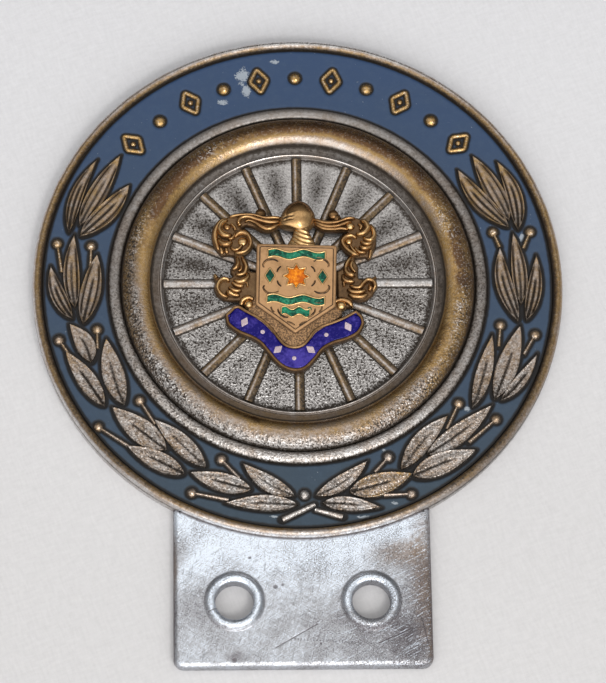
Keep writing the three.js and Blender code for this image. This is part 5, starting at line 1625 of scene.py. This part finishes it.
# Small lozenges and dots by turns along the ribbon
ribbonMarks = {
    "shares": [0.14, 0.26, 0.38, 0.5, 0.62, 0.74, 0.86],
    "long": 1.05,
    "wide": 0.7,
    "corner": 0.15,
    "dot": 0.38,
    "sunk": 0.1,
    "rise": 0.05,
    "edge": [(0, 0.03), (0.06, 0), (0.12, 0)],
}
dotTurn = np.linspace(0, 2 * math.pi, 24, endpoint=False)
dotShape = np.column_stack([np.cos(dotTurn), np.sin(dotTurn)]) * ribbonMarks["dot"]
markCorners = np.array([(1, 0), (0, 1), (-1, 0), (0, -1)]) * [ribbonMarks["wide"], ribbonMarks["long"]]
lozengeShape = resampled(rounded(markCorners, ribbonMarks["corner"]), 48)
middleLine = (ribbonEdges[:, :2] + ribbonEdges[:, 2:]) / 2
direction = np.gradient(middleLine, axis=0)
markLevels = bevelled(fillTop - ribbonMarks["sunk"], fillTop + ribbonMarks["rise"], ribbonMarks["edge"])
ribbonMotifs = Shell()
for i, share in enumerate(ribbonMarks["shares"]):
    k = int(share * (len(ribbonEdges) - 1))
    ahead = direction[k] / np.linalg.norm(direction[k])
    shape = (dotShape if i % 2 else lozengeShape) @ np.array([ahead, [-ahead[1], ahead[0]]])
    ribbonMotifs.addPlate(middleLine[k] + discCentre + shape, markLevels)
ribbonMotifs.make("ribbon_motifs", paleGlass, "ribbon_enamel", "ribbon_enamel")

# Enamels of the shield: a sun, three wavy bars and two diamonds, each in a thin gilt rim
shieldEnamels = {
    "sunRadius": 2.5,
    "sunHeartRadius": 1.55,
    "sunRays": 8,
    "sunCentre": 0.4,
    "sunCorner": 0.2,
    "barHeight": 1.5,
    "wave": 0.3,
    "diamondWidth": 1.9,
    "diamondLength": 3.0,
    "diamondOffset": 4.7,
    "diamondCorner": 0.25,
    "borderWidth": 2.0,
    # deep colour, bright colour and flecks
    "greens": [(0.004, 0.05, 0.032), (0.03, 0.33, 0.18), (0.3, 0.7, 0.45)],
    "oranges": [(0.5, 0.1, 0.005), (1.0, 0.33, 0.01), (1.0, 0.6, 0.2)],
    "grainSize": 0.45,
    # a fill goes down under the shield's top by the first and stands over it by the second
    "fillSunk": 0.25,
    "fillRise": 0.09,
    "fillEdge": [(0, 0.11), (0.1, 0.04), (0.3, 0), (0.36, 0)],
    # a rim is half an ellipse over upright walls that are sunk into the shield
    "rimHalf": 0.17,
    "rimFoot": 0.05,
    "rimHeight": 0.2,
    "rimSunk": 0.3,
}


def wavyBar(width, middle):
    # both long edges follow two sine waves
    share = np.linspace(0, 1, 49)
    wave = middle + shieldEnamels["wave"] * np.sin(4 * math.pi * share)
    x, half = (share - 0.5) * width, shieldEnamels["barHeight"] / 2
    return np.vstack([np.column_stack([x, wave - half]), np.column_stack([x, wave + half])[::-1]])


def sunOutline():
    # rays and the dips between them by turns
    rays, middle = shieldEnamels["sunRays"], shieldEnamels["sunCentre"]
    turn = np.pi * np.arange(2 * rays) / rays
    radius = np.tile([shieldEnamels["sunRadius"], shieldEnamels["sunHeartRadius"]], rays)
    points = np.column_stack([radius * np.sin(-turn), radius * np.cos(turn) + middle])
    return rounded(points, shieldEnamels["sunCorner"])


def diamondOutline(side):
    x, middle = side * shieldEnamels["diamondOffset"], shieldEnamels["sunCentre"]
    half, reach = shieldEnamels["diamondWidth"] / 2, shieldEnamels["diamondLength"] / 2
    points = [(x, middle - reach), (x + half, middle), (x, middle + reach), (x - half, middle)]
    return rounded(points, shieldEnamels["diamondCorner"])


barWidth = shield["width"] - 2 * shieldEnamels["borderWidth"]
lowerPlace = -(shield["shoulder"] + shield["point"]) / 2 + shieldEnamels["borderWidth"] * 0.7
cells = {
    "upper_bar": wavyBar(barWidth, shield["top"] - shieldEnamels["borderWidth"]),
    "middle_bar": wavyBar(barWidth, -shield["shoulder"] + shieldEnamels["borderWidth"] / 2),
    "lower_bar": wavyBar(barWidth / 2, lowerPlace),
    "left_diamond": diamondOutline(-1),
    "right_diamond": diamondOutline(1),
    "sun": sunOutline(),
}
greenGlass = glassFinish("green enamel", *shieldEnamels["greens"], size=shieldEnamels["grainSize"])
orangeGlass = glassFinish("orange enamel", *shieldEnamels["oranges"], size=shieldEnamels["grainSize"])
rims = Shell()
rimTurn = np.linspace(math.pi, 0, 9)
rimLevel = shieldTop - shieldEnamels["rimFoot"] + shieldEnamels["rimHeight"] * np.sin(rimTurn)
rimLevel[[0, -1]] = shieldTop - shieldEnamels["rimSunk"]
# grime and painted shade at the feet of each rim
rimGrimeAndShade = np.clip(1 - 1.5 * np.sin(rimTurn), 0, 1)
glassTop = shieldTop + shieldEnamels["fillRise"]
glassLevels = bevelled(shieldTop - shieldEnamels["fillSunk"], glassTop, shieldEnamels["fillEdge"])
for name, cell in cells.items():
    cellLine = anticlockwise(onCrest(resampled(cell, 160)))
    rings = carried(drawnIn(cellLine, 0.02), shieldEnamels["rimHalf"], np.cos(rimTurn), rimLevel, looped=True)
    rims.add(rings, looped=True, dirt=rimGrimeAndShade, brown=0.1)
    material, slot = (orangeGlass, "orange_enamel") if name == "sun" else (greenGlass, "green_enamel")
    glass = Shell()
    glass.addPlate(drawnIn(cellLine, 0.1), glassLevels)
    glass.make(name + "_fill", material, slot, name + "_enamel")
rims.make("enamel_rims", giltMetal, "crest_gilt", "crest")

# The two pins keep their CAD shape and get peened brass
pinLook = {**plateLook, "plate": (0.5, 0.38, 0.2), "bronze": (0.45, 0.31, 0.15), "roughness": 0.35}
pinFinish = wornPlate("peened brass", pinLook)
for name in ("upper_crest_pin", "lower_crest_pin"):
    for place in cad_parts[name].material_slots:
        place.material = pinFinish

# Floor, camera and lights
studio = {
    "floorColour": (0.695, 0.7, 0.73),
    # the floor's colour at its foot, darker as painted shade
    "floorShadedFoot": (0.668, 0.666, 0.68),
    "floorSize": 6.0,
    "foldSize": 90.0,
    "threadSize": 0.55,
    "threadTurns": (20.0, 110.0),
    "azimuth": -5.387,
    "elevation": 70.212,
    "roll": 4.795,
    "distance": 0.600257,
    "lens": 176.49,
    "target": (0.000807, 0.048718, 0.0),
    "lightTarget": (0, 0.05, 0),
    # the studio's brightness from the camera's side to the far side, as shares of the way
    "sweep": [
        (0.0, 1.5), (0.06, 2.6), (0.17, 2.7), (0.27, 1.5), (0.4, 0.9), (0.52, 0.95), (0.62, 1.35),
        (0.7, 1.3), (0.79, 0.4), (1.0, 0.08),
    ],
    "horizon": 0.35,
    "sideDim": 0.45,
    "tint": (1.0, 0.985, 0.965),
    # place, width, length, strength in watts, colour
    "lights": [((0.26, -0.5, 0.78), 0.2, 0.2, 1.9, (1.0, 0.97, 0.93))],
}


def clothFloor(name, look):
    # two crossing threads of a fine cloth, and broad shallow folds painted into the colour as shade;
    # the cloth is painted darker towards its foot as painted shade
    f = Finish(name)
    folds = f.noise(look["foldSize"], 2.0)
    threads = [f.streaks(look["threadSize"], turn, 4.0) for turn in look["threadTurns"]]
    weave = (threads[0] + threads[1]) * 0.5
    tone = f.mix(f.y.step(-60.0, 60.0), look["floorShadedFoot"], look["floorColour"])
    shade = 0.86 + (0.3 + folds * 0.5 + (weave - 0.5) * 2.2).held() * 0.14
    colour = f.mix(1.0, tone, f.ramp(shade, (0.0, (0, 0, 0)), (1.0, (1, 1, 1))), "MULTIPLY")
    return f.surface({"Base Color": colour, "Roughness": 0.9, "Normal": f.relief(weave, 0.06)})


floorHalf = studio["floorSize"] / 2
floorCorners = [(x * floorHalf, y * floorHalf, 0) for x, y in ((-1, -1), (1, -1), (1, 1), (-1, 1))]
floorMesh = bpy.data.meshes.new("floor")
floorMesh.from_pydata(floorCorners, [], [(0, 1, 2, 3)])
floorMesh.materials.append(clothFloor("pale floor", studio))
floorPiece = bpy.data.objects.new("floor", floorMesh)
scene.collection.objects.link(floorPiece)

azimuth, elevation, roll = [math.radians(studio[key]) for key in ("azimuth", "elevation", "roll")]
flat = math.cos(elevation)
back = Vector((math.sin(azimuth) * flat, -math.cos(azimuth) * flat, math.sin(elevation)))
right = (-back).cross(Vector((0, 0, 1))).normalized()
up = right.cross(-back)
right, up = right * math.cos(roll) + up * math.sin(roll), up * math.cos(roll) - right * math.sin(roll)
cameraData = bpy.data.cameras.new("camera")
cameraData.lens = studio["lens"]
cameraData.sensor_width = 36.0
cameraData.clip_start = 0.01
camera = bpy.data.objects.new("camera", cameraData)
stand = Matrix.Translation(Vector(studio["target"]) + back * studio["distance"])
camera.matrix_world = stand @ Matrix((right, up, back)).transposed().to_4x4()
scene.collection.objects.link(camera)
scene.camera = camera

for i, (place, width, length, power, colour) in enumerate(studio["lights"]):
    lamp = bpy.data.lights.new("softbox %d" % (i + 1), "AREA")
    lamp.shape = "RECTANGLE"
    lamp.size, lamp.size_y, lamp.energy, lamp.color = width, length, power, colour
    holder = bpy.data.objects.new(lamp.name, lamp)
    holder.location = place
    holder.rotation_euler = (Vector(place) - Vector(studio["lightTarget"])).to_track_quat("Z", "Y").to_euler()
    scene.collection.objects.link(holder)

studioWorld = Finish("studio", world=True)
across, along, upward = [Wire(studioWorld, axis) for axis in studioWorld.axes]
greys = [(share, (level,) * 3) for share, level in studio["sweep"]]
sweep = studioWorld.ramp((along * 0.5 + 0.5).held(), *greys)
# the light is dimmer towards the horizon and to both sides
risen = studio["horizon"] + upward.step(0.0, 0.4) * (1 - studio["horizon"])
sideways = 1 - across.math("ABSOLUTE").step(0.3, 0.85) * (1 - studio["sideDim"])
sky = studioWorld.mix(1.0, sweep, studio["tint"], "MULTIPLY")
background = studioWorld.node("ShaderNodeBackground", {}, {"Color": sky, "Strength": risen * sideways})
studioWorld.node("ShaderNodeOutputWorld", {}, {"Surface": background})
scene.world = studioWorld.material
scene.view_settings.view_transform = "Standard"
print("floor, camera and lights set")
